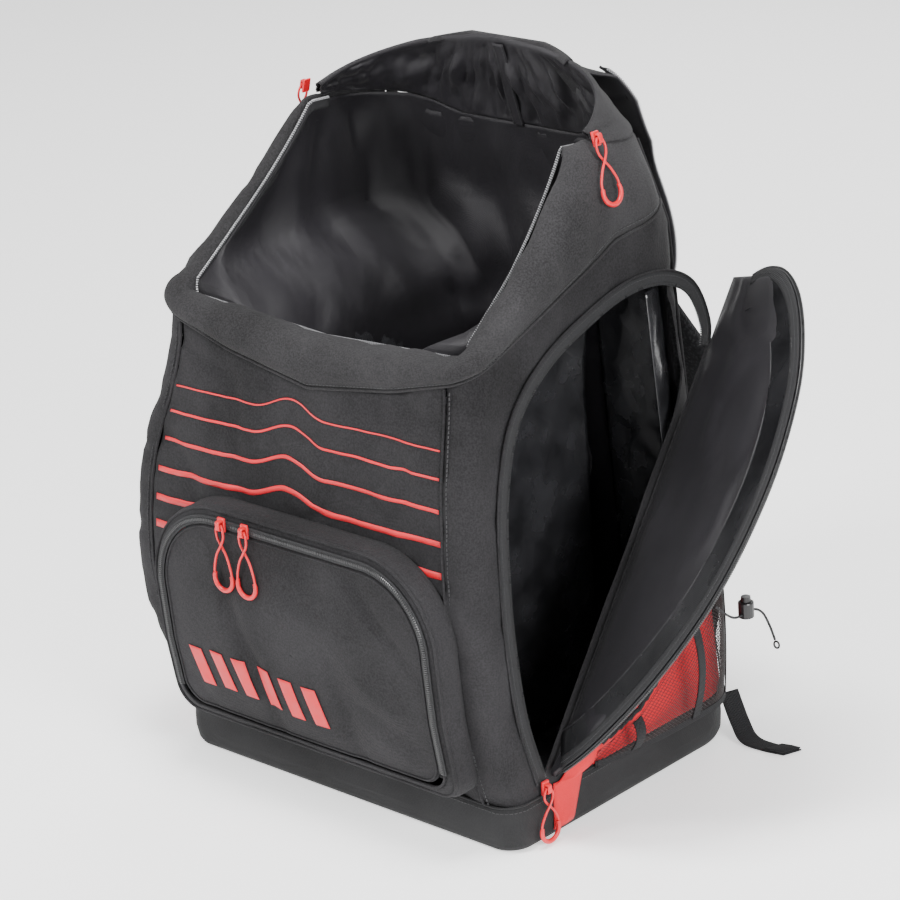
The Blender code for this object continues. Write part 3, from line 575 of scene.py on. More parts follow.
SHELL = fabric("shell_cloth", (0.0055, 0.0052, 0.0058), (0.024, 0.023, 0.025), 0.86, grain=560)
YOKE = fabric("yoke_cloth", (0.0070, 0.0066, 0.0072), (0.034, 0.033, 0.035), 0.88, grain=640, sheen=0.03)
BASE = fabric("base_cloth", (0.0080, 0.0078, 0.0084), (0.018, 0.018, 0.019), 0.72, pitch=0.0013, depth=0.0004)
LINING = fabric("lining_nylon", (0.0060, 0.0052, 0.0070), (0.0110, 0.0098, 0.0125), 0.48, pitch=0.0005,
                depth=0.00008, sheen=0.05, specular=0.35)
# The doors' inside: the same nylon as lining_nylon, its colour raised a little above it as painted sheen.
DOOR_LINING_PAINTED_SHEEN = fabric("door_lining_nylon_painted_sheen", (0.0075, 0.0068, 0.0085), (0.0130, 0.0118, 0.0145), 0.44,
                     pitch=0.0005, depth=0.00008, specular=0.5)
TARP = coated("tarpaulin_cloth", (0.020, 0.020, 0.022), 0.20, depth=0.004, coat=0.6)
FACING = coated("facing_cloth", (0.010, 0.010, 0.011), 0.24, depth=0.002, coat=0.3, size=25)
CORAL_CLOTH = fabric("coral_cloth", (0.52, 0.006, 0.013), (0.64, 0.012, 0.022), 0.50, pitch=0.0006,
                     depth=0.0001, wear=0.08)
RED_BACKING = fabric("red_backing", (0.50, 0.008, 0.016), (0.66, 0.018, 0.028), 0.8, wear=0.15)
CORAL = plastic("coral_plastic", (0.62, 0.008, 0.016), 0.36)
PRINT = plastic("coral_print", (0.60, 0.009, 0.018), 0.55, grain=0.00008)
NET = fabric("net_yarn", (0.020, 0.018, 0.018), (0.035, 0.030, 0.030), 0.8, sheen=0.1)
WEBBING = ribbed("webbing_ribs", (0.008, 0.008, 0.009), (0.018, 0.018, 0.020), 0.72, 0.0016, 0.0006)
TAPE = ribbed("zip_tape_ribs", (0.014, 0.014, 0.015), (0.030, 0.030, 0.032), 0.66, 0.0011, 0.0004)
COIL = plastic("zip_coil", (0.030, 0.030, 0.031), 0.30)
BRIGHT = plastic("zip_edge", (0.32, 0.32, 0.33), 0.28)
BLACK = plastic("black_acetal", (0.009, 0.009, 0.010), 0.36)
FOAM = spacer_mesh("air_mesh", (0.008, 0.008, 0.009), (0.026, 0.026, 0.028))
THREAD = plastic("thread", (0.040, 0.040, 0.042), 0.6)
CORD = ribbed("cord_braid", (0.016, 0.016, 0.017), (0.050, 0.050, 0.052), 0.6, 0.0009, 0.0003)


# ---------------------------------------------------------------- seams, stitches and zip teeth
STITCH = (0.0005, 0.0028, 0.0004)
STITCH_STEP, LONG_STEP = 0.0040, 0.0042
COIL_STEP, BRIGHT_STEP = 0.0021, 0.0022
FORWARD, ACROSS, UPWARD = Vector((0, -1, 0)), Vector((1, 0, 0)), Vector((0, 0, 1))


def seam(name, path, radius, mat, body="bag", slot="shell_fabric", cyclic=False):
    run = path if cyclic else even(path, 0.006)
    return put(strands(name, [(run, radius, cyclic)], mat), body, slot)


def stitches(name, path, normal, body="bag", slot="zip_tape", lift=0.0, shifts=(0.0,), step=STITCH_STEP,
             size=STITCH):
    rows = [(path, normal, shift, lift) for shift in shifts]
    return put(dashes(name, rows, THREAD, step, size), body, slot)


def teeth(name, path, normal, size, lift, body="bag", mat=COIL, step=COIL_STEP):
    return put(dashes(name, [(path, normal, 0.0, lift)], mat, step, size), body, "zip_tape")


# ---------------------------------------------------------------- base
def make_base():
    marks = spread(-5, 5, 181)[:-1]
    floor = [wall(p, 0.0, 0.012) for p in marks]
    rows = [[Vector((v.x * 0.02, v.y * 0.02, 0.0)) for v in floor], floor]
    for z, inset in ((0.0, 0.0045), (0.0015, 0.0012), (0.006, 0.0), (0.018, -0.0004), (0.030, -0.0002),
                     (0.040, 0.0002), (BASE_TOP, 0.0)):
        rows.append([wall(p, z, inset) for p in marks])
    tub = cloth("base_shell", rows, [BASE], 0.0024, -1.0, panel_relief(3.0, 0.0012), ring=True,
                hem=lambda r, c, n, m: 1.0 if 4 <= r <= 7 else 0.0)
    put(tub, "bag", "base_fabric", "base_tub")
    rim = [wall(p, BASE_TOP + 0.0002, -0.0003) for p in marks]
    seam("base_seam", rim, 0.0011, BASE, slot="base_fabric", cyclic=True)
    sewn = spread(-5, 5, 401)
    normal = [(wall(p, 0.0405, -0.01) - wall(p, 0.0405)).normalized() for p in sewn]
    stitches("base_stitches", [wall(p, 0.0405, -0.0001) for p in sewn], normal, slot="base_fabric",
             step=LONG_STEP, size=(0.0006, 0.0030, 0.0005))


# ---------------------------------------------------------------- front panel and its print
def front_point(u, v, out=0.0):
    top = yoke_seam_z(u * 0.95) - 0.0004
    z = BASE_TOP + 0.0004 + (top - BASE_TOP) * v
    return wall(u * front_seam_x(z) / (section(z)[0] - FRONT_RADIUS), z, -out)


FRONT_RELIEF = panel_relief(11.0, 0.0050)


def on_front(x, z, out):
    """Point on the front cloth, with its relief, for what is printed on it."""
    half = section(z)[0] - FRONT_RADIUS
    spot = wall(x / half, z)
    spot.y += -FRONT_RELIEF(spot) - out
    return spot


def make_front():
    rows = [[front_point(u, v) for u in spread(-1, 1, 73)] for v in spread(0, 1, 73)]
    made = cloth("front_cloth", rows, [SHELL, LINING], 0.0020, -1.0, FRONT_RELIEF)
    put(made, "bag", "shell_fabric", "front_panel")


STRIPES = ((0.382, 0.0016), (0.357, 0.0024), (0.328, 0.0036), (0.298, 0.0052), (0.269, 0.0064),
           (0.242, 0.0074))
HILL_X, HILL_HALF, HILL_RISE = -0.020, 0.045, 0.013


def make_stripes():
    """Six printed lines that thicken downwards, each with one low rounded hill."""
    for number, (height, width) in enumerate(STRIPES):
        end = front_seam_x(height)
        line = []
        for x in spread(-end + 0.004, end - 0.003, 90):
            hill = 0.5 + 0.5 * math.cos(math.pi * min(1.0, abs(x - HILL_X) / HILL_HALF))
            line.append((x, height + 0.002 * math.sin(x * 9) + HILL_RISE * hill))
        rows = [[on_front(x, z - width / 2 + width * t, 0.0008) for x, z in line] for t in (0, 0.5, 1)]
        put(cloth(f"front_stripe_{number + 1}", rows, [PRINT], 0.0003, -1.0), "bag", "red_plastic")


# ---------------------------------------------------------------- side panels
def make_side(hand):
    word = WORDS[hand]
    normal = side_normal(hand)
    marks = [0.9, 1.0, *spread(1.08, 1.92, 9), *spread(2, 3, 49), *spread(3.06, SIDE_END, 8)]
    gap = 0.0008 if hand > 0 else 0.0030

    def point(u, v):
        top = yoke_seam_z(max(u, 1.0)) - 0.0004
        z = BASE_TOP + 0.0004 + (top - BASE_TOP) * v
        if u < 1:
            u = (front_seam_x(z) + gap) / (section(z)[0] - FRONT_RADIUS)
        return wall(hand * u, z)

    rows = [[point(u, v) for u in marks[::hand]] for v in spread(0, 1, 71)]
    dents = panel_relief(21.0 + hand, 0.0048)

    def relief(p):
        """Calm under the accent strip and the mesh pocket, which lie close to the panel."""
        return dents(p) * (0.15 + 0.85 * ease(-0.010, 0.030, hinge_frame(p.y, p.z)[1]))

    panel = cloth(f"{word}_side_cloth", rows, [SHELL, TARP], 0.0020, -1.0, relief)
    start = Vector((hand * HALF_WIDTH[1], 0, 0)) - normal * 0.03
    outline = [start + Vector((0, y, z)) for y, z in flat_smooth(OPENING_OUTLINE, 6)]
    cutter = bmesh.new()
    face = cutter.faces.new([cutter.verts.new(p) for p in outline])
    raised = bmesh.ops.extrude_face_region(cutter, geom=[face])["geom"]
    raised = [part for part in raised if isinstance(part, bmesh.types.BMVert)]
    bmesh.ops.translate(cutter, verts=raised, vec=normal * 0.12)
    bmesh.ops.recalc_face_normals(cutter, faces=cutter.faces)
    tool = from_bmesh("cutter", cutter)
    hole = panel.modifiers.new("opening", "BOOLEAN")
    hole.object = tool
    hole.solver = "EXACT"
    settle(panel)
    bpy.data.objects.remove(tool)
    panel.data.set_sharp_from_angle(angle=math.radians(50))
    put(panel, "bag", "shell_fabric", f"{word}_side_panel")
    run = []
    for z in spread(BASE_TOP, yoke_seam_z(1.0) - 0.004, 60):
        run.append(wall(hand * (front_seam_x(z) + gap / 2) / (section(z)[0] - FRONT_RADIUS), z, -0.0006))
    seam(f"{word}_front_seam", run, 0.0013, SHELL)
    run = [p + Vector((hand * 0.0055, 0, 0)) for p in run]
    stitches(f"{word}_front_stitches", run, FORWARD, slot="shell_fabric", lift=-0.0012, step=LONG_STEP,
             size=(0.0005, 0.0030, 0.0012))


def make_opening_zip(hand):
    """Fixed half of the boot door's zip: tape, coil and a welt round the opening."""
    word = WORDS[hand]
    out = 0.0012 if hand > 0 else 0.0025
    rim = flat_smooth(OPENING_OUTLINE, 8)
    normal = side_normal(hand)

    def line(by, lift=0.0):
        return [side_point(*p, out + lift, hand) for p in grown(rim, by)]

    made = between(f"{word}_opening_tape", line(-0.0004), line(0.0108), TAPE, 0.0009)
    put(made, "bag", "zip_tape", f"{word}_opening_zip")
    teeth(f"{word}_opening_coil", line(-0.0006, 0.0003), normal, (0.0030, 0.0013, 0.0016), -0.0012)
    seam(f"{word}_opening_welt", line(0.0118, 0.0002), 0.0013, SHELL)
    stitches(f"{word}_opening_stitches", line(0.0075, 0.0004), normal)


# ---------------------------------------------------------------- mouth yoke
YOKE_PROFILE = ((0.0, 0.0), (0.15, -0.0045), (0.35, -0.007), (0.55, -0.0065), (0.75, -0.004), (0.90, 0.0015),
                (0.97, 0.006), (1.0, 0.012), (0.97, 0.017), (0.88, 0.0205), (0.70, 0.022))


def yoke_point(p, rise, inset):
    low, high = yoke_seam_z(p) + 0.0012, rim_z(p)
    end = lookup(abs(p), (3.2, SIDE_END), (1.0, 0.0))
    rolled = lookup(abs(p), (2.75, 3.15), (1.0, 0.30))
    return wall(p, low + (high - low) * rise, inset * (end if inset < 0 else rolled))


def make_yoke():
    half = [*spread(0, 1, 17)[1:], *spread(1.08, 1.92, 9), *spread(2, 3, 30), *spread(3.08, SIDE_END, 6)]
    marks = [-u for u in half[::-1]] + [0] + half
    profile = [(v.x, v.y) for v in smooth([(a, b, 0) for a, b in YOKE_PROFILE], 3)]
    rows = [[yoke_point(p, *step) for p in marks] for step in profile]

    def relief(p):
        gather = 0.0022 * wobble(upright(p, 0.15), 0.030, 5.0) + 0.0020 * wobble(p, 0.08, 6.0)
        return gather - 0.0022 * crease(upright(p, 0.35), 0.07, 8.0)

    made = cloth("yoke_cloth", rows, [YOKE, LINING], 0.0018, -1.0, relief,
                 hem=lambda r, c, n, m: min(1.0, r / 4, (n - 1 - r) / 4, c / 3, (m - 1 - c) / 3))
    put(made, "bag", "shell_fabric", "mouth_yoke")
    line = [wall(p, yoke_seam_z(p) + 0.0004, -0.0006) for p in marks]
    seam("yoke_seam", line, 0.0015, YOKE)
    normal = [(wall(p, 0.46, -0.01) - wall(p, 0.46)).normalized() for p in marks]
    stitches("yoke_stitches", [yoke_point(p, 0.07, -0.0026) for p in marks], normal, slot="shell_fabric",
             lift=-0.0002, step=LONG_STEP, size=(0.0005, 0.0030, 0.0005))


def make_mouth_zip():
    half = [*spread(0, 1, 17)[1:], *spread(1.08, 1.92, 9), *spread(2, 2.9, 30)]
    marks = [-m for m in half[::-1]] + [0] + half
    path = [wall(m, rim_z(m) - 0.0095, 0.0228) for m in marks]
    put(tape("mouth_tape", path, UPWARD, 0.010, 0.0008, TAPE), "bag", "zip_tape", "mouth_zip")
    inward = [(wall(m, 0.5, 0.05) - wall(m, 0.5)).normalized() for m in marks]
    teeth("mouth_coil", [p + UPWARD * 0.0046 for p in path], inward, (0.0024, 0.0013, 0.0018), -0.0009, "bag",
          BRIGHT, BRIGHT_STEP)


# ---------------------------------------------------------------- linings
LINING_Z = (0.012, 0.34, 0.38, 0.42, 0.445, 0.462, 0.474, 0.490)
LINING_HALF = (0.0635, 0.0635, 0.066, 0.078, 0.098, 0.122, 0.148, 0.166)


def lining_top(u):
    q = min(u, 10 - u)
    if q < 2.8:
        return rim_z(q) - 0.012
    return lookup(q, (2.8, 3.1, 3.7, 4.3), (0.600, 0.594, 0.588, 0.574))


def make_lining():
    """Nylon lining of the main space, from inside the rim down between the boot compartments."""
    marks = spread(0, 10, 201)[:-1]
    levels = spread(0, 1, 61)

    def point(u, v):
        top = lining_top(u)
        near = lookup(min(u, 10 - u), (2.70, 3.15), (0.0235, 0.0098))
        if v < 0:
            return around(u, top + 0.004, near)
        z = top + (0.0125 - top) * v
        spot = around(u, z, near + (0.0275 - near) * ease(0.0, 0.25, v))
        limit = lookup(z, LINING_Z, LINING_HALF)
        half = section(z)[0] - 0.0275
        if limit < half:
            spot.x *= limit / half
        spot.y = max(-0.132, min(0.148, spot.y)) if z < 0.47 else spot.y
        return spot

    rows = [[point(u, v) for u in marks] for v in (-1, *levels)]
    rows.append([Vector((v.x * 0.02, v.y * 0.02, 0.0120)) for v in rows[-1]])

    def relief(p):
        folds = 0.0055 * wobble(upright(p, 0.14), 0.036, 31.0) + 0.0028 * wobble(upright(p, 0.4), 0.017, 34.0)
        return folds + 0.0030 * wobble(p, 0.06, 32.0) - 0.0030 * crease(upright(p, 0.5), 0.07, 33.0)

    made = cloth("main_lining", rows, [LINING], 0.0008, 0.0, relief, ring=True,
                 hem=lambda r, c, n, m: 0.0 if r >= n - 2 else min(1.0, r / 3))
    put(made, "bag", "lining_fabric")


def make_divider(hand):
    word = WORDS[hand]
    bend = [(DIVIDER_X, z) for z in (0.009, 0.10, 0.22, 0.34)]
    bend = flat_smooth(bend + [(0.080, 0.400), (0.105, 0.440), (0.140, 0.463), (0.182, 0.4695)], 7)

    def point(y, x, z):
        half, _, rear, rear_r = section(z)
        y = max(y, lookup(z, (0.38, 0.46), (y, -0.108)))
        over = max(0.0, y - (rear - rear_r))
        most = half - rear_r + math.sqrt(rear_r**2 - over**2) - 0.0045
        return Vector((hand * min(x, most), y, z))

    rows = [[point(y, *spot) for y in spread(-0.146, 0.130, 49)[::-hand]] for spot in bend]
    made = cloth(f"{word}_divider_cloth", rows, [TARP], 0.0012, -1.0, crinkle(0.0016, 0.05, 3.0),
                 hem=flat_edges)
    put(made, "bag", "tarpaulin", f"{word}_boot_divider")


def make_compartment(hand):
    """Coated lining of a boot compartment's floor, front and back, seen through the doorway."""
    word = WORDS[hand]
    for name, low, high, top, inset in (("front", 0.42, 1.98, 0.420, 0.0105),
                                        ("back", 3.02, 4.45, 0.455, 0.0150)):
        rows = [[wall(hand * p, 0.0125 + (top - 0.0125) * v, inset) for p in spread(low, high, 41)[::hand]]
                for v in spread(0, 1, 61)]
        made = cloth(f"{word}_compartment_{name}", rows, [TARP], 0.0008, 1.0, crinkle(0.0024, 0.040, 5.0),
                     hem=flat_edges)
        put(made, "bag", "tarpaulin")
    rows = [[Vector((hand * x, y, 0.0085)) for x in spread(0.0725, 0.2015, 25)[::hand]]
            for y in spread(-0.134, 0.125, 33)]
    made = cloth(f"{word}_compartment_floor", rows, [TARP], 0.0008, 1.0, soft_relief(0.0006, 0.03, 9.0),
                 hem=flat_edges)
    put(made, "bag", "tarpaulin")


# ---------------------------------------------------------------- boot doors
def door_matrix(hand):
    """From the shut position to the rest position."""
    if hand < 0:
        return Matrix()
    low = side_point(*HINGE_LOW, DOOR_STANDOFF[hand], hand)
    high = side_point(*HINGE_HIGH, DOOR_STANDOFF[hand], hand)
    turn = Matrix.Rotation(DOOR_OPEN, 4, (high - low).normalized())
    return Matrix.Translation(low) @ turn @ Matrix.Translation(-low)


def door_dome(along, share):
    """Soft outward crown of a door's cloth."""
    shares = [min(1.0, max(0.0, value)) for value in (share, along / 0.46)]
    return math.sin(math.pi * shares[0]) * math.sin(math.pi * shares[1])


def make_door(hand):
    body = f"{WORDS[hand]}_door"
    place = door_matrix(hand)
    normal = place.to_3x3() @ side_normal(hand)
    rim = flat_smooth(DOOR_OUTLINE, 8)
    edge = [hinge_frame(*p) for p in rim]
    reach = [a for a, _ in edge], [d for _, d in edge]
    shares = [0.5 - 0.5 * math.cos(math.pi * k / 60) for k in range(61)]
    marks = [edge[0][0] + (edge[-1][0] - edge[0][0]) * share for share in shares]

    def point(u, v, out):
        away = 0.003 + (lookup(u, *reach) - 0.003) * v
        return place @ side_point(*off_hinge(u, away), DOOR_STANDOFF[hand] + out, hand)

    def crowned(depth, out):
        return [[point(u, v, out + depth * door_dome(u, v)) for u in marks[::hand]] for v in spread(0, 1, 37)]

    def line(by, out):
        return [place @ side_point(*p, DOOR_STANDOFF[hand] + out, hand) for p in grown(rim, by)][2:-2]

    def outer_relief(p):
        return 0.0014 * wobble(p, 0.055, 40.0 + hand) - 0.0008 * crease(p, 0.075, 42.0 + hand) + 0.0006

    def inner_relief(p):
        return 0.0026 * wobble(p, 0.050, 50.0) - 0.0024 * crease(p, 0.075, 51.0, 0.12) - 0.0026

    outer = cloth(f"{body}_cloth", crowned(0.0035, 0.0026), [SHELL], 0.0012, -1.0, outer_relief,
                  hem=flat_edges)
    put(outer, body, "shell_fabric", body)
    inner = cloth(f"{body}_lining", crowned(0.0014, 0.0006), [DOOR_LINING_PAINTED_SHEEN], 0.0006, -1.0, inner_relief,
                  hem=lambda r, c, n, m: ease(0, 4, min(r, c, m - 1 - c)) * ease(5, 13, n - 1 - r))
    put(inner, body, "lining_fabric")
    inner_edge = line(-0.040, -0.0024)
    inner_edge = [p + normal * 0.0008 * math.sin(math.pi * i / 90) for i, p in enumerate(inner_edge)]
    made = between(f"{body}_facing", line(-0.0105, -0.0020), inner_edge, FACING, 0.0006,
                   crinkle(0.0012, 0.04, 60.0), 13)
    put(made, body, "tarpaulin")
    seam(f"{body}_facing_seam", inner_edge, 0.0011, DOOR_LINING_PAINTED_SHEEN, body, "lining_fabric")
    out = DOOR_THICK + 0.0009
    made = between(f"{body}_tape", line(-0.0125, out), line(-0.0008, out), TAPE, 0.0008)
    put(made, body, "zip_tape", f"{body}_zip")
    made = between(f"{body}_inner_tape", line(-0.0125, -0.0026), line(-0.0008, -0.0016), TAPE, 0.0006)
    put(made, body, "zip_tape")
    teeth(f"{body}_coil", line(0.0010, 0.0008), normal, (0.0030, 0.0013, 0.0022), -0.0002, body)
    seam(f"{body}_piping", line(-0.0135, out + 0.0002), 0.0016, SHELL, body)
    seam(f"{body}_edge", line(-0.0010, 0.0014), 0.0016, BLACK, body, "black_plastic")
    stitches(f"{body}_stitches", line(-0.0060, -0.0027), -normal, body)


def make_fold(hand):
    """Cloth that bends along a door's fold line, from the side panel to the door."""
    word = WORDS[hand]
    place = door_matrix(hand)
    fixed = ((-0.010, 0.0006), (-0.005, 0.0010), (0.0, 0.0018))
    moved = ((0.003, 0.0016), (0.008, 0.0020), (0.014, 0.0024))
    standoff = DOOR_STANDOFF[hand]
    rows = []
    for u in spread(0.024, HINGE_LENGTH - 0.020, 50):
        row = [side_point(*off_hinge(u, away), out, hand) for away, out in fixed]
        row += [place @ side_point(*off_hinge(u, away), standoff + out, hand) for away, out in moved]
        rows.append(row)
    made = cloth(f"{word}_door_fold", rows, [SHELL], 0.0010, 0.0, flip=hand < 0)
    put(made, "bag", "shell_fabric")


def make_accent(hand):
    """Coral strip under the door's fold, a little puffed."""
    word = WORDS[hand]
    upper = smooth([(-0.1000, 0.0500, 0), (-0.0840, 0.0600, 0), (-0.040, 0.1040, 0), (0.010, 0.1535, 0),
                    (0.060, 0.2150, 0), (0.1140, 0.2815, 0)], 10)
    lower = smooth([(-0.0640, 0.0490, 0), (-0.0440, 0.0540, 0), (0.0040, 0.0765, 0), (0.0500, 0.1120, 0),
                    (0.0930, 0.1480, 0), (0.1180, 0.2200, 0)], 10)
    rows = []
    for a, b in zip(upper, lower):
        puffed = [(a.lerp(b, t), 0.0016 + 0.0030 * math.sin(math.pi * t)) for t in spread(0, 1, 13)]
        rows.append([side_point(spot.x, spot.y, puff, hand) for spot, puff in puffed])
    made = cloth(f"{word}_accent_cloth", rows, [CORAL_CLOTH], 0.0010, -1.0,
                 lambda p: 0.0009 * wobble(p, 0.022, 70.0) - 0.0008 * crease(p, 0.03, 71.0), flip=hand > 0,
                 hem=flat_edges)
    put(made, "bag", "red_plastic", f"{word}_accent_strip")
    rows = []
    for z in spread(0.008, 0.052, 13):
        front, back = -0.103 - 0.10 * (0.052 - z), -0.062 - 0.42 * (0.052 - z)
        row = []
        for t in spread(0, 1, 9)[::hand]:
            x = section(z)[0] + 0.0016 + 0.0012 * math.sin(math.pi * t)
            row.append(Vector((hand * x, front + (back - front) * t, z)))
        rows.append(row)
    tab = cloth(f"{word}_accent_tab", rows, [CORAL_CLOTH], 0.0010, -1.0, soft_relief(0.0006, 0.02, 73.0),
                hem=flat_edges)
    put(tab, "bag", "red_plastic")


# ---------------------------------------------------------------- mesh side pockets
MESH_START, MESH_LOW = 2.36, 0.0495
NET_PITCH = 0.0019


def mesh_place(u, v):
    """Place on the wall behind the pocket: u runs backwards and v upwards."""
    return MESH_START + (SIDE_END - 0.04 - MESH_START) * u, MESH_LOW + (mesh_top(u) - MESH_LOW) * v


def mesh_top(u):
    return lookup(u, *MESH_TOP)


def mesh_point(u, v, out=0.0):
    p, z = mesh_place(u, v)
    bulge = 0.030 * math.sin(math.pi * min(1.0, 1.1 * u)) ** 0.7
    bulge *= 0.25 + 0.75 * math.sin(math.pi * (0.08 + 0.62 * v))
    outward = (wall(p, z, -0.01) - wall(p, z)).normalized()
    return wall(p, z) + outward * (0.0030 + bulge + out)


def mirrored(point, hand):
    return Vector((hand * point.x, point.y, point.z))


def make_net(hand):
    """Net of square cells set on their corners, cut off along the hem."""
    across, up = 58, 56
    spots, index = [], {}
    for j in range(2 * up + 1):
        for i in range(j % 2, 2 * across + 1, 2):
            index[i, j] = len(spots)
            u = 0.985 * i / (2 * across)
            v = NET_PITCH * j / (mesh_top(u) - MESH_LOW)
            spot = mesh_point(u, min(v, 1.0), 0.0012 * wobble((u * 3, v * 3, 1), 0.6, 81.0))
            spots.append((mirrored(spot, hand), v < 1))
    cells = []
    for j in range(1, 2 * up):
        for i in range(1 + j % 2, 2 * across, 2):
            cell = (index[i - 1, j], index[i, j - 1], index[i + 1, j], index[i, j + 1])
            if any(spots[k][1] for k in cell):
                cells.append(cell)
    used = sorted({k for cell in cells for k in cell})
    order = {k: n for n, k in enumerate(used)}
    faces = [tuple(order[k] for k in cell) for cell in cells]
    net = new_object(f"{WORDS[hand]}_pocket_net", [spots[k][0] for k in used], faces, [NET], 80)
    wires = net.modifiers.new("yarns", "WIREFRAME")
    wires.thickness = 0.0007
    wires.use_even_offset = False
    settle(net)
    put(net, "bag", "mesh_fabric", f"{WORDS[hand]}_mesh_pocket")


def make_mesh_pocket(hand):
    word = WORDS[hand]
    make_net(hand)
    backing = [[mirrored(wall(*mesh_place(u, v), -0.0013), hand) for u in spread(0.0, 0.97, 33)]
               for v in spread(0, 1, 25)]
    made = cloth(f"{word}_pocket_backing", backing, [RED_BACKING], 0.0006, 0.0, soft_relief(0.0002, 0.02),
                 flip=hand < 0)
    put(made, "bag", "mesh_fabric")
    hem = []
    for u in spread(0.03, 0.97, 90):
        hem.append(mirrored(mesh_point(u, 1.0) + UPWARD * (0.0066 + 0.0008 * math.sin(u * 160)), hand))
    ruffle = (hem, lambda t: 0.0023 + 0.0004 * math.sin(t * 260), False)
    made = strands(f"{word}_pocket_hem", [ruffle], WEBBING)
    put(made, "bag", "webbing", f"{word}_mesh_hem")
    heights = spread(0.01, 0.99, 30)
    for number, u in enumerate((0.17, 0.47, 0.80)):
        path = [mirrored(mesh_point(u, v, 0.0011), hand) for v in heights]
        side = [mirrored(mesh_point(u + 0.02, v) - mesh_point(u - 0.02, v), hand) for v in heights]
        put(tape(f"{word}_pocket_rib_{number + 1}", path, side, 0.011, 0.0009, WEBBING), "bag", "webbing")
    foot = [mirrored(mesh_point(u, 0.0, 0.0006), hand) for u in spread(0.0, 0.985, 70)]
    put(tape(f"{word}_pocket_binding", foot, UPWARD, 0.007, 0.0009, WEBBING), "bag", "webbing")


def make_cord():
    """Draw cord through the cord lock, and its end ring."""
    hole = Vector((0.2560, 0.128, 0.146))
    route = ((-0.004, -0.040, 0.020), (-0.001, -0.022, 0.004), (0, -0.010, 0), (0, 0.010, 0),
             (0.003, 0.020, -0.006), (0.006, 0.026, -0.020), (0.009, 0.030, -0.036))
    path = smooth([hole + Vector(step) for step in route], 8)
    radius = 0.0012
    made = strands("pocket_cord", [(path, radius, False)], CORD, 10)
    end = path[-1] + Vector((0.0012, 0.0007, -0.0052))
    turns = spread(0, 2 * math.pi, 25)[:-1]
    ring = [end + Vector((0.0030 * math.cos(a), 0, 0.0034 * math.sin(a))) for a in turns]
    made_ring = strands("cord_ring", [(ring, 0.0010, True)], BLACK)
    put(made_ring, "bag", "black_plastic", "cord_end")
    put(made, "bag", "webbing", "draw_cord")


# ---------------------------------------------------------------- front pocket
def pocket_outline(inset):
    """The pocket's outline, this far inside its foot: two small lower corners and two large upper ones."""
    half, low, high = POCKET_HALF - inset, POCKET_LOW + inset * 0.8, POCKET_HIGH - inset
    big, small = max(POCKET_RADIUS - inset, 0.004), 0.022
    foot, top = low + small, high - big
    quarter = math.pi / 2
    out = [(half - small + small * math.sin(a), foot - small * math.cos(a)) for a in spread(0, quarter, 13)]
    out += [(half, z) for z in spread(foot, top, 17)[1:-1]]
    out += [(half - big + big * math.cos(a), top + big * math.sin(a)) for a in spread(0, quarter, 22)]
    out += [(x, high) for x in spread(half - big, 0, 15)[1:-1]]
    out += [(-x, z) for x, z in out[::-1]]
    return out + [(x, low) for x in spread(-half + small, half - small, 30)[1:-1]]


def pocket_ring(inset, depth):
    return [Vector((x, section(z)[1] - depth, z)) for x, z in pocket_outline(inset)]


def make_pocket():
    full = POCKET_DEPTH
    rings = ((0.0, 0.0008), (0.0, 0.006), (0.0002, 0.013), (0.0006, full - 0.006), (0.002, full - 0.0025),
             (0.005, full), (0.009, full + 0.0012), (POCKET_BORDER - 0.004, full + 0.0016))
    calm = (0, 0.5, 1, 1, 0.5, 0.2, 0, 0)
    made = cloth("pocket_gusset", [pocket_ring(*ring) for ring in rings], [SHELL], 0.0018, -1.0,
                 lambda p: 0.0020 * wobble(p, 0.03, 90.0) - 0.0016 * crease(p, 0.04, 91.0), ring=True,
                 hem=lambda r, c, n, m: calm[r])
    put(made, "bag", "shell_fabric", "front_pocket_shell")
    seam("pocket_piping_outer", pocket_ring(0.0032, full - 0.0006), 0.0017, SHELL, cyclic=True)
    seam("pocket_piping_inner", pocket_ring(POCKET_BORDER - 0.0045, full + 0.0022), 0.0013, SHELL,
         cyclic=True)


def flap_depth(x, z):
    """How far the flap's face stands out from the front, with a full, slightly sagging crown."""
    wide = max(0.0, 1 - (x / (POCKET_HALF - POCKET_BORDER)) ** 4)
    share = min(1.0, max(0.0, (z - POCKET_LOW) / (POCKET_HIGH - POCKET_LOW)))
    tall = max(0.0, math.sin(math.pi * share ** 0.8))
    fold = 0.0038 * wobble((x, z * 0.6, 0), 0.06, 96.0)
    fold -= 0.0042 * crease((x + 0.5 * z, z, 0), 0.13, 97.0, 0.12)
    return POCKET_DEPTH + 0.0018 + (0.0038 + fold) * wide * tall


def on_flap(x, z, out):
    return Vector((x, section(z)[1] - flap_depth(x, z) - out, z))


def make_flap():
    """The pocket's zipped face: rings of its outline, closing on its middle."""
    middle = 0.165
    outline = pocket_outline(POCKET_BORDER + 0.0008)
    rows = []
    for share in (1.0, 0.99, 0.975, *spread(0.955, 0.002, 34)):
        rows.append([on_flap(x * share, middle + (z - middle) * share, 0.0) for x, z in outline])
    made = cloth("pocket_flap_cloth", rows, [SHELL], 0.0020, -1.0, ring=True)
    put(made, "pocket_flap", "shell_fabric", "front_pocket_flap")
    line = [on_flap(x, z, 0.0004) for x, z in pocket_outline(POCKET_BORDER + 0.0030)]
    seam("flap_piping", line, 0.0012, SHELL, "pocket_flap", cyclic=True)


def make_bars():
    """Plain printed bars on the flap, in a slanted row."""
    for number in range(6):
        rows = []
        for h in spread(0, 1, 13):
            left = -0.138 + 0.030 * number - 0.010 * (h - 0.5)
            z = 0.100 + 0.038 * h + 0.003 * math.sin(number)
            rows.append([on_flap(left + 0.017 * w, z, 0.0011) for w in spread(0, 1, 7)])
        put(cloth(f"pocket_bar_{number + 1}", rows, [PRINT], 0.0003, -1.0), "pocket_flap", "red_plastic")


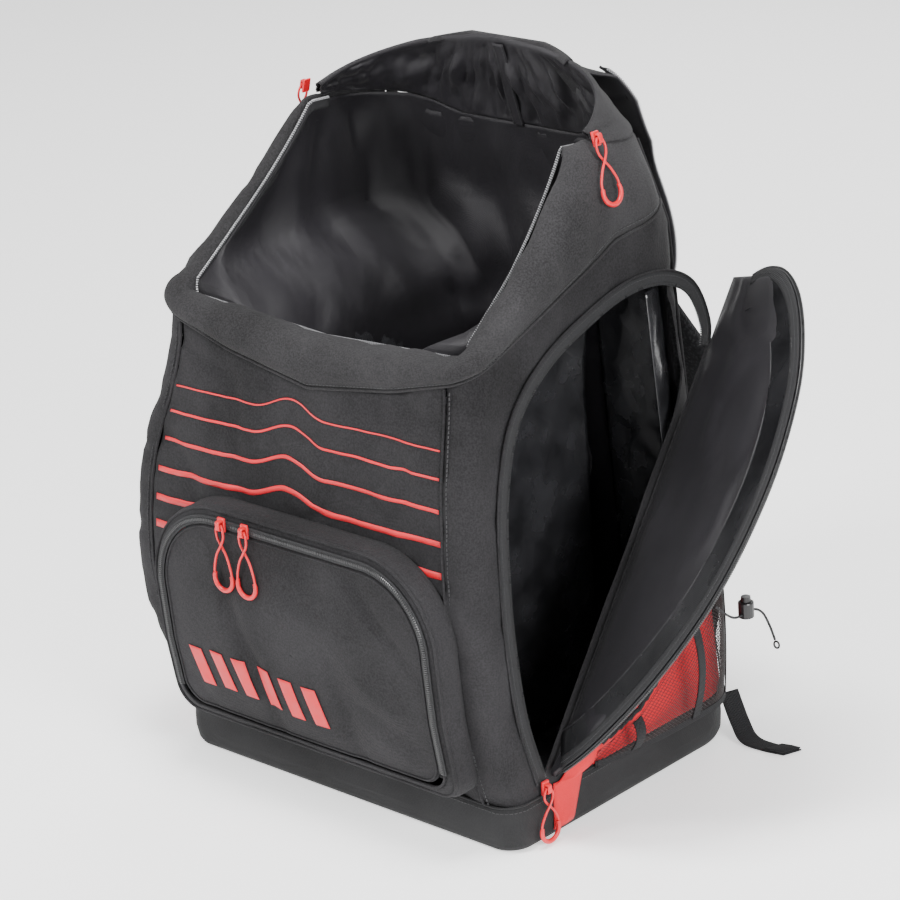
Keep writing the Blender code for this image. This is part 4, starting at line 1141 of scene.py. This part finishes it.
def make_pocket_zip():
    line = pocket_ring(POCKET_BORDER - 0.0040, POCKET_DEPTH + 0.0030)
    path = [p for p in line if p.z > POCKET_LOW + 0.028]
    put(tape("pocket_tape", path, facing(path, FORWARD), 0.0085, 0.0008, TAPE), "bag", "zip_tape",
        "front_pocket_zip")
    teeth("pocket_coil", path, FORWARD, (0.0036, 0.0013, 0.0014), 0.0002)


# ---------------------------------------------------------------- sliders and pulls
PLATE = ((-0.0068, 0.0002), (0.0060, 0.0002), (0.0068, 0.0010), (0.0068, 0.0022), (0.0060, 0.0028),
         (-0.0060, 0.0028), (-0.0068, 0.0020))
ARCH = ((-0.0048, 0.0026), (-0.0046, 0.0066), (-0.0034, 0.0078), (0.0034, 0.0078), (0.0046, 0.0066),
        (0.0048, 0.0026), (0.0030, 0.0026), (0.0026, 0.0060), (-0.0026, 0.0060), (-0.0030, 0.0026))
EYE_HEIGHT = 0.0049
GRIP_RADIUS = 0.0115


def prism(verts, faces, profile, half, axes, place):
    """Adds a prism to a mesh, with its profile along the first two axes and this half width on the third."""
    start, n = len(verts), len(profile)
    for side in (-half, half):
        verts += [place + axes[0] * a + axes[1] * b + axes[2] * side for a, b in profile]
    faces.append(tuple(range(start, start + n)))
    faces.append(tuple(range(start + n, start + 2 * n))[::-1])
    for k in range(n):
        m = (k + 1) % n
        faces.append((start + k, start + n + k, start + n + m, start + m))


def make_slider(node, pull_node, place, out, down, length):
    """Zip slider with its arch and wire eye, and the moulded cord loop that hangs from it along down."""
    down = down.normalized()
    side = out.cross(down).normalized()
    out = down.cross(side)
    verts, faces = [], []
    prism(verts, faces, PLATE, 0.0043, (down, out, -side), place)
    prism(verts, faces, ARCH, 0.0024, (down, out, -side), place)
    made = new_object(node + "_body", verts, faces, [CORAL], 30)
    tidy_normals(made)
    rounded = made.modifiers.new("rounding", "BEVEL")
    rounded.width = 0.0005
    rounded.segments = 2
    settle(made)
    put(made, node, "red_plastic", node)
    reach = length - GRIP_RADIUS

    def at(a, b, lift=0.0):
        return place + out * (EYE_HEIGHT + lift) + side * a + down * b

    runs = []
    for s in (1, -1):
        leg = [at(s * 0.0030, 0.0), at(s * 0.0050, reach * 0.12, 0.0004 * s),
               at(s * 0.0042, reach * 0.26, 0.0008 * s), at(0.0, reach * 0.40, 0.0012 * s),
               at(-s * 0.0056, reach * 0.56, 0.0008 * s), at(-s * 0.0102, reach * 0.78),
               at(-s * GRIP_RADIUS * 0.99, reach * 0.92)]
        runs.append((smooth(leg), 0.00115, False))
    runs.append(([at(-0.0036, -0.0004), at(0.0036, -0.0004)], 0.0012, False))
    turns = spread(math.radians(-24), math.radians(204), 25)
    grip = [at(GRIP_RADIUS * math.cos(a), reach + GRIP_RADIUS * math.sin(a)) for a in turns]
    runs.append((grip, lambda t: 0.0023 * (0.72 + 0.28 * math.sin(math.pi * t) ** 0.4), False))
    put(strands(pull_node + "_cord", runs, CORAL, 10), pull_node, "red_plastic", pull_node)


def make_sliders():
    z = POCKET_HIGH - POCKET_BORDER + 0.0045
    y = section(z)[1] - POCKET_DEPTH - 0.0036
    for word, x in (("left", -0.078), ("right", -0.048)):
        make_slider(f"pocket_slider_{word}", f"pocket_pull_{word}", Vector((x, y, z)), FORWARD, -UPWARD,
                    0.064)
    for hand, word in WORDS.items():
        rim = wall(hand * 2.90, rim_z(2.90) + 0.004, -0.0075)
        make_slider(f"mouth_slider_{word}", f"mouth_pull_{word}", rim, ACROSS * hand,
                    Vector((hand * 0.26, 0, -1)), 0.060)
        foot = side_point(-0.1185, 0.0555, 0.0040, hand)
        make_slider(f"{word}_door_slider", f"{word}_door_pull", foot, side_normal(hand), -UPWARD, 0.052)


# ---------------------------------------------------------------- hood and lid
HOOD_MARKS = (2.92, 3.2, 3.5, 3.7, 4.0, 4.5, 5.0)
HOOD_TOP = (0.615, 0.628, 0.640, 0.648, 0.657, 0.662, 0.664)


HOOD_FOLD = {"start": (0, 0.050, 0.615), "end": (0, 0.074, 0.663)}
LID_FOLD = {"start": (0, 0.1245, 0.6600), "end": (0, 0.1370, 0.6540)}


def bridge(obj, fixed, moving, fold, slot, *replaced):
    """Bakes the cloth's placement into its mesh and hides the parts it replaces; fixed, moving, fold and slot
    are not used.
    """
    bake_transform(obj)
    if replaced:
        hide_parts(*replaced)


def make_hood():
    """Rear hood between the mouth's sliders: nylon inside, rolled over its top, shell cloth outside."""
    marks = spread(2.92, 7.08, 141)
    inside = [("in", t) for t in spread(0, 1, 22)]
    profile = inside + [("roll", t) for t in (0.25, 0.5, 0.75)] + [("out", t) for t in spread(1, 0, 16)]

    def point(u, kind, t):
        q = min(u, 10 - u)
        top = lookup(q, HOOD_MARKS, HOOD_TOP) + 0.0015 * wobble((u, 0, 0), 0.5, 101.0)
        low = lookup(q, (2.92, 3.3, 3.7, 4.3), (0.606, 0.598, 0.592, 0.576))
        if kind == "in":
            fold = 0.0110 * wobble((u, t * 0.25, 0), 0.22, 102.0)
            fold += 0.0070 * wobble((u, t * 0.3, 3), 0.080, 103.0)
            fold *= math.sin(math.pi * min(1, t * 1.05)) ** 0.5
            return around(u, low + (top - low) * t, 0.0075 + fold)
        if kind == "roll":
            return around(u, top + 0.003 * math.sin(math.pi * t), 0.0075 - 0.0060 * t)
        return around(u, low + 0.001 + (top - low) * t, 0.0012 - 0.0018 * wobble((u, t * 2, 5), 0.3, 104.0))

    rows = [[point(u, kind, t) for u in marks] for kind, t in profile]
    made = cloth("hood_cloth", rows, [LINING, YOKE], 0.0009, 0.0, flip=True)
    outer, count = (len(inside) + 1) * len(marks), len(profile) * len(marks)
    for face in made.data.polygons:
        face.material_index = int(all(v % count >= outer for v in face.vertices))
    bridge(made, "bag", "riser", HOOD_FOLD, "lining_fabric", "lid_riser")
    path = [around(5.0 + 0.02 * math.sin(t * 5), 0.576 + 0.084 * t, 0.0105) for t in spread(0, 1, 30)]
    bridge(tape("hood_seam_tape", path, ACROSS, 0.013, 0.0006, LINING, 0.0006), "bag", "riser", HOOD_FOLD,
           "lining_fabric")
    rows = [([p + Vector((x, -0.0010, 0)) for p in path], FORWARD, 0.0, 0.0) for x in (-0.005, 0.005)]
    bridge(dashes("hood_seam_stitches", rows, THREAD, 0.0036, (0.0005, 0.0024, 0.0004)), "bag", "riser",
           HOOD_FOLD, "lining_fabric")


def lid_point(u, share, drop, out=0.0):
    """Point of the hanging lid: u across from -1 to 1, share down from its fold."""
    half = lookup(share, LID_SHARES, LID_HALVES)
    half *= math.sqrt(1 - 0.75 * max(0.0, (share - 0.72) / 0.28) ** 3)
    wrap = LID_WRAP * ease(0.10, 0.42, share) * ease(0.75, 0.45, share)
    place = share * (len(drop) - 1)
    i = min(int(place), len(drop) - 2)
    spot = drop[i].lerp(drop[i + 1], place - i)
    return Vector((u * half, spot.x - wrap * u * u + out, spot.y))


def make_lid():
    drop = smooth([(y, z, 0) for y, z in LID_DROP], 12)

    def ripples(p):
        return 0.0018 * wobble(upright(p, 0.4), 0.06, 110.0) - 0.0016 * crease(p, 0.09, 111.0)

    def draped(point, share):
        """Near its fold the lid follows the hood's rounded top."""
        fade = ease(0.16, 0.0, share)
        side = max(0.0, abs(point.x) - 0.045)
        return point - fade * Vector((0, 7.0 * side * side, 0.21 * side))

    edge_rows = ((0.1200, 0.6590), (0.1240, 0.6625), (0.1290, 0.6625), (0.1320, 0.6605))
    rows = [[draped(Vector((u * 0.084, y, z)), 0.0) for u in spread(-1, 1, 61)] for y, z in edge_rows]
    rows += [[draped(lid_point(u, v, drop), v) for u in spread(-1, 1, 61)] for v in spread(0, 1, 61)]
    made = cloth("lid_cloth", rows, [LINING, YOKE], 0.0022, 0.0, ripples, flip=True,
                 hem=lambda r, c, n, m: 0.0 if r < 7 else flat_edges(r, c, n, m))
    bridge(made, "riser", "lid", LID_FOLD, "shell_fabric", "lid_panel")

    def edge(u, out, low=0.10):
        run = [lid_point(u, v, drop, out) for v in spread(low, 1, 70)]
        return run + [mirrored(p, -1) for p in run[::-1]]

    lid_tape = between("lid_tape", edge(0.985, 0.0016), edge(0.915, 0.0016), TAPE, 0.0008)
    put(lid_tape, "lid", "zip_tape", "lid_zip")
    coil = teeth("lid_coil", edge(1.0, 0.0006), -FORWARD, (0.0026, 0.0013, 0.0022), -0.0008, "lid", BRIGHT,
                 BRIGHT_STEP)
    piping = strands("lid_piping", [(edge(0.905, 0.0020), 0.0014, False)], YOKE)
    put(piping, "lid", "shell_fabric")


# ---------------------------------------------------------------- harness
def superellipse(width, thick, count, power=3.2):
    def side(value):
        return math.copysign(abs(value) ** (2 / power), value) / 2

    turns = [2 * math.pi * k / count for k in range(count)]
    return [(side(math.cos(a)) * width, side(math.sin(a)) * thick) for a in turns]


def mirrored_route(hand, route, per=8):
    return smooth([(hand * x, y, z) for x, y, z in route], per)


def make_strap(hand):
    """Padded shoulder strap with bound edges and webbing on its face."""
    word = WORDS[hand]
    path = mirrored_route(hand, ((0.066, 0.1705, 0.500), (0.084, 0.1735, 0.455), (0.112, 0.1830, 0.410),
                                 (0.138, 0.2030, 0.355), (0.150, 0.2250, 0.290), (0.150, 0.2210, 0.225),
                                 (0.150, 0.2110, 0.180)), 10)
    shape = superellipse(0.0575, 0.0112, 32)
    rows, sides, fronts = [], [], []
    for i, point in enumerate(path):
        along = direction(path, i).normalized()
        side = (ACROSS - along * along.x).normalized()
        out = side.cross(along).normalized()
        taper = 1.0 if 2 < i < len(path) - 3 else 0.90
        rows.append([point + side * a * taper + out * b * taper for a, b in shape])
        sides.append(side)
        fronts.append(out if out.y > 0 else -out)
    made = cloth(f"{word}_strap_pad", rows, [FOAM], 0.0, relief=soft_relief(0.0007, 0.03, 120.0), ring=True)
    tidy_normals(made, close_ends=True)
    put(made, "bag", "padding", f"{word}_shoulder_strap")
    for name, shift in (("inner", -1), ("outer", 1)):
        run = [p + s * shift * 0.0285 for p, s in zip(path, sides)]
        put(strands(f"{word}_strap_binding_{name}", [(run, 0.0024, False)], WEBBING), "bag", "webbing")
    web = [p + f * 0.0064 for p, f in zip(path, fronts)][18:]
    put(tape(f"{word}_strap_webbing", web, sides[18:], 0.024, 0.0012, WEBBING), "bag", "webbing")
    stitches(f"{word}_strap_stitches", web, fronts[18:], slot="webbing", lift=0.0006,
             shifts=(-0.0105, 0.0105))


def make_strap_ends(hand):
    """Webbing below the ladder lock, and its tail on the ground with a folded end."""
    word = WORDS[hand]
    path = mirrored_route(hand, ((0.150, 0.2120, 0.1440), (0.150, 0.2060, 0.100), (0.150, 0.1930, 0.055),
                                 (0.150, 0.1865, 0.030), (0.150, 0.1860, 0.014)))
    put(tape(f"{word}_lower_strap", path, ACROSS, 0.020, 0.0014, WEBBING), "bag", "webbing",
        f"{word}_lower_webbing")
    path = mirrored_route(hand, ((0.205, 0.160, 0.040), (0.224, 0.152, 0.016), (0.240, 0.146, 0.0042),
                                 (0.262, 0.148, 0.0012), (0.286, 0.152, 0.0012)))
    lying = Vector((0.35 * hand, 0.94, 0))
    put(tape(f"{word}_strap_tail", path, lying, 0.020, 0.0014, WEBBING), "bag", "webbing",
        f"{word}_webbing_tail")
    steps = ((-0.020, -0.0040, 0.0022), (-0.010, -0.0020, 0.0026), (-0.001, -0.0002, 0.0020))
    fold = [path[-1] + Vector((hand * x, y, z)) for x, y, z in steps]
    put(tape(f"{word}_tail_fold", fold, lying, 0.020, 0.0012, WEBBING), "bag", "webbing")


def make_haul_loop():
    half = ((0.0, 0.1790, 0.5200), (0.014, 0.1785, 0.5200), (0.030, 0.1715, 0.5140), (0.034, 0.1660, 0.5040))
    path = smooth([(-x, y, z) for x, y, z in half[:0:-1]] + list(half), 8)
    put(tape("haul_webbing", path, Vector((0, -0.04, 1)), 0.018, 0.0026, WEBBING, 0.0006), "bag", "webbing",
        "haul_loop")


def make_sternum(hand):
    word = WORDS[hand]
    top = Vector((hand * 0.1080, 0.2245, 0.298))
    path = [top - UPWARD * d for d in spread(0, 0.090, 25)]
    body = f"sternum_{word}"
    put(tape(f"sternum_webbing_{word}", path, ACROSS, 0.020, 0.0014, WEBBING, 0.0002), body, "webbing",
        f"sternum_strap_{word}")
    stitches(f"sternum_stitches_{word}", path, -FORWARD, body, "webbing", 0.0008, (-0.0085, 0.0085))


def make_back():
    start = SIDE_END + 0.012

    def point(u, v):
        top = lookup(min(u, 10 - u), (SIDE_END, 3.9), (0.595, 0.575))
        return around(u, BASE_TOP + 0.0004 + (top - BASE_TOP) * v)

    def relief(p):
        level = math.exp(-((p.z - 0.36) / 0.006) ** 2)
        upright_pair = math.exp(-((abs(p.x) - 0.104) / 0.005) ** 2) * ease(0.40, 0.33, p.z)
        return -0.0030 * (level + upright_pair) + 0.0016 * wobble(p, 0.06, 130.0) - 0.001

    rows = [[point(u, v) for u in spread(start, 10 - start, 91)] for v in spread(0, 1, 91)]
    made = cloth("back_cloth", rows, [FOAM, LINING], 0.0088, -1.0, relief, hem=flat_edges)
    put(made, "bag", "padding", "back_panel")
    for hand, word in WORDS.items():
        run = [wall(hand * (SIDE_END + 0.006), z, -0.0006) for z in spread(BASE_TOP, 0.590, 70)]
        seam(f"{word}_back_seam", run, 0.0014, SHELL)


def pad_mesh(name, centre, size, tilt):
    """Back pad: a rounded block swollen by cloth pressure, flat against the back panel."""
    made = bmesh.new()
    bmesh.ops.create_cube(made, size=1.0, matrix=Matrix.Diagonal((size[0], size[1], size[2], 1.0)))
    bmesh.ops.bevel(made, geom=made.edges, offset=0.005, segments=3, affect="EDGES")
    bmesh.ops.transform(made, matrix=Matrix.Translation(centre) @ tilt.to_4x4(), verts=made.verts)
    obj = from_bmesh(name, made)
    obj.data.materials.append(FOAM)
    remesh = obj.modifiers.new("voxels", "REMESH")
    remesh.mode = "VOXEL"
    remesh.voxel_size = 0.004
    settle(obj)
    before = np.array([v.co for v in obj.data.vertices])
    swell = obj.modifiers.new("cloth", "CLOTH")
    swell.settings.use_pressure = True
    swell.settings.uniform_pressure_force = 4.0
    swell.settings.effector_weights.gravity = 0.0
    swell.settings.tension_stiffness = 30
    scene = bpy.context.scene
    for step in range(1, 16):
        scene.frame_set(step)
    settle(obj)
    scene.frame_set(1)
    after = np.array([v.co for v in obj.data.vertices])
    move = after - before
    length = np.linalg.norm(move, axis=1, keepdims=True)
    move *= np.minimum(1.0, 0.0035 / np.maximum(length, 1e-9))
    obj.data.vertices.foreach_set("co", (before + move).astype(np.float32).ravel())
    finer = obj.modifiers.new("finer", "SUBSURF")
    finer.levels = finer.render_levels = 1
    settle(obj)
    obj.data.shade_smooth()
    return obj


def make_pads():
    tilt = Matrix.Rotation(math.atan(0.04), 3, "X")
    for hand, word in WORDS.items():
        centre = Vector((hand * 0.052, section(0.215)[2] + 0.0090, 0.215))
        pad = pad_mesh(f"{word}_lumbar_pad", centre, (0.074, 0.010, 0.224), tilt)
        put(pad, "bag", "padding", f"back_pad_{word}")


# ---------------------------------------------------------------- frame pieces that stay
def paint_nodes():
    for name in ("base_board", "buckle_plug", "buckle_socket", "cord_lock_barrel", "cord_lock_button",
                 "left_ladder_lock", "right_ladder_lock"):
        NODES[name].data.materials.clear()
        NODES[name].data.materials.append(BLACK)


# ---------------------------------------------------------------- studio
WHITE = (1, 1, 1, 1)
LENS, SENSOR = 139.72, 36
VIEW_TURN, VIEW_RISE, VIEW_ROLL = math.radians(44), math.radians(21), math.radians(4)
LOOK_AT, VIEW_DISTANCE = Vector((0.698, -0.709, 0.677)), 2.2


def area_light(name, place, target, size, power):
    """A square light of this size, aimed at the target."""
    data = bpy.data.lights.new(name, "AREA")
    data.size = size
    data.energy = power
    lamp = linked(name, data)
    lamp.location = place
    lamp.rotation_mode = "QUATERNION"
    lamp.rotation_quaternion = (Vector(target) - Vector(place)).to_track_quat("-Z", "Y")


def make_studio():
    grid = bmesh.new()
    bmesh.ops.create_grid(grid, x_segments=1, y_segments=1, size=6.0)
    floor = from_bmesh("floor", grid)
    paper = Shader("floor_paper", (0.95, 0.95, 0.95), 0.9)
    fill(paper.inputs, {"Emission Color": WHITE, "Emission Strength": 0.75})
    floor.data.materials.append(paper.material)
    floor.location.z = -0.0005
    world = bpy.data.worlds.new("studio")
    bpy.context.scene.world = world
    world.use_nodes = True
    fill(world.node_tree.nodes["Background"].inputs, {"Color": WHITE, "Strength": 0.6})
    area_light("key", (-1.0, -2.4, 2.4), (0, 0, 0.3), 1.0, 95)
    area_light("fill", (2.6, -0.7, 1.3), (0.1, 0, 0.3), 1.0, 85)
    area_light("top", (0.3, -0.2, 2.8), (0, 0, 0.3), 0.8, 75)
    area_light("rim", (-1.2, 2.4, 1.8), (0, 0, 0.35), 1.4, 24)


def make_camera():
    data = bpy.data.cameras.new("camera")
    data.lens = LENS
    data.sensor_width = SENSOR
    camera = linked("camera", data)
    level = math.cos(VIEW_RISE)
    back = Vector((math.sin(VIEW_TURN) * level, -math.cos(VIEW_TURN) * level, math.sin(VIEW_RISE)))
    camera.location = LOOK_AT + back * VIEW_DISTANCE
    camera.rotation_mode = "QUATERNION"
    roll = Matrix.Rotation(-VIEW_ROLL, 4, "Z").to_quaternion()
    camera.rotation_quaternion = (-back).to_track_quat("-Z", "Y") @ roll
    bpy.context.scene.camera = camera


# ---------------------------------------------------------------- the object
make_camera()
make_cord()
make_base()
make_front()
make_stripes()
make_yoke()
make_mouth_zip()
make_lining()
for side in (1, -1):
    make_side(side)
    make_opening_zip(side)
    make_divider(side)
    make_compartment(side)
    make_door(side)
    make_fold(side)
    make_accent(side)
    make_mesh_pocket(side)
    make_strap(side)
    make_strap_ends(side)
    make_sternum(side)
make_pocket()
make_flap()
make_bars()
make_pocket_zip()
make_sliders()
make_hood()
make_lid()
make_haul_loop()
make_back()
make_pads()
paint_nodes()
make_studio()
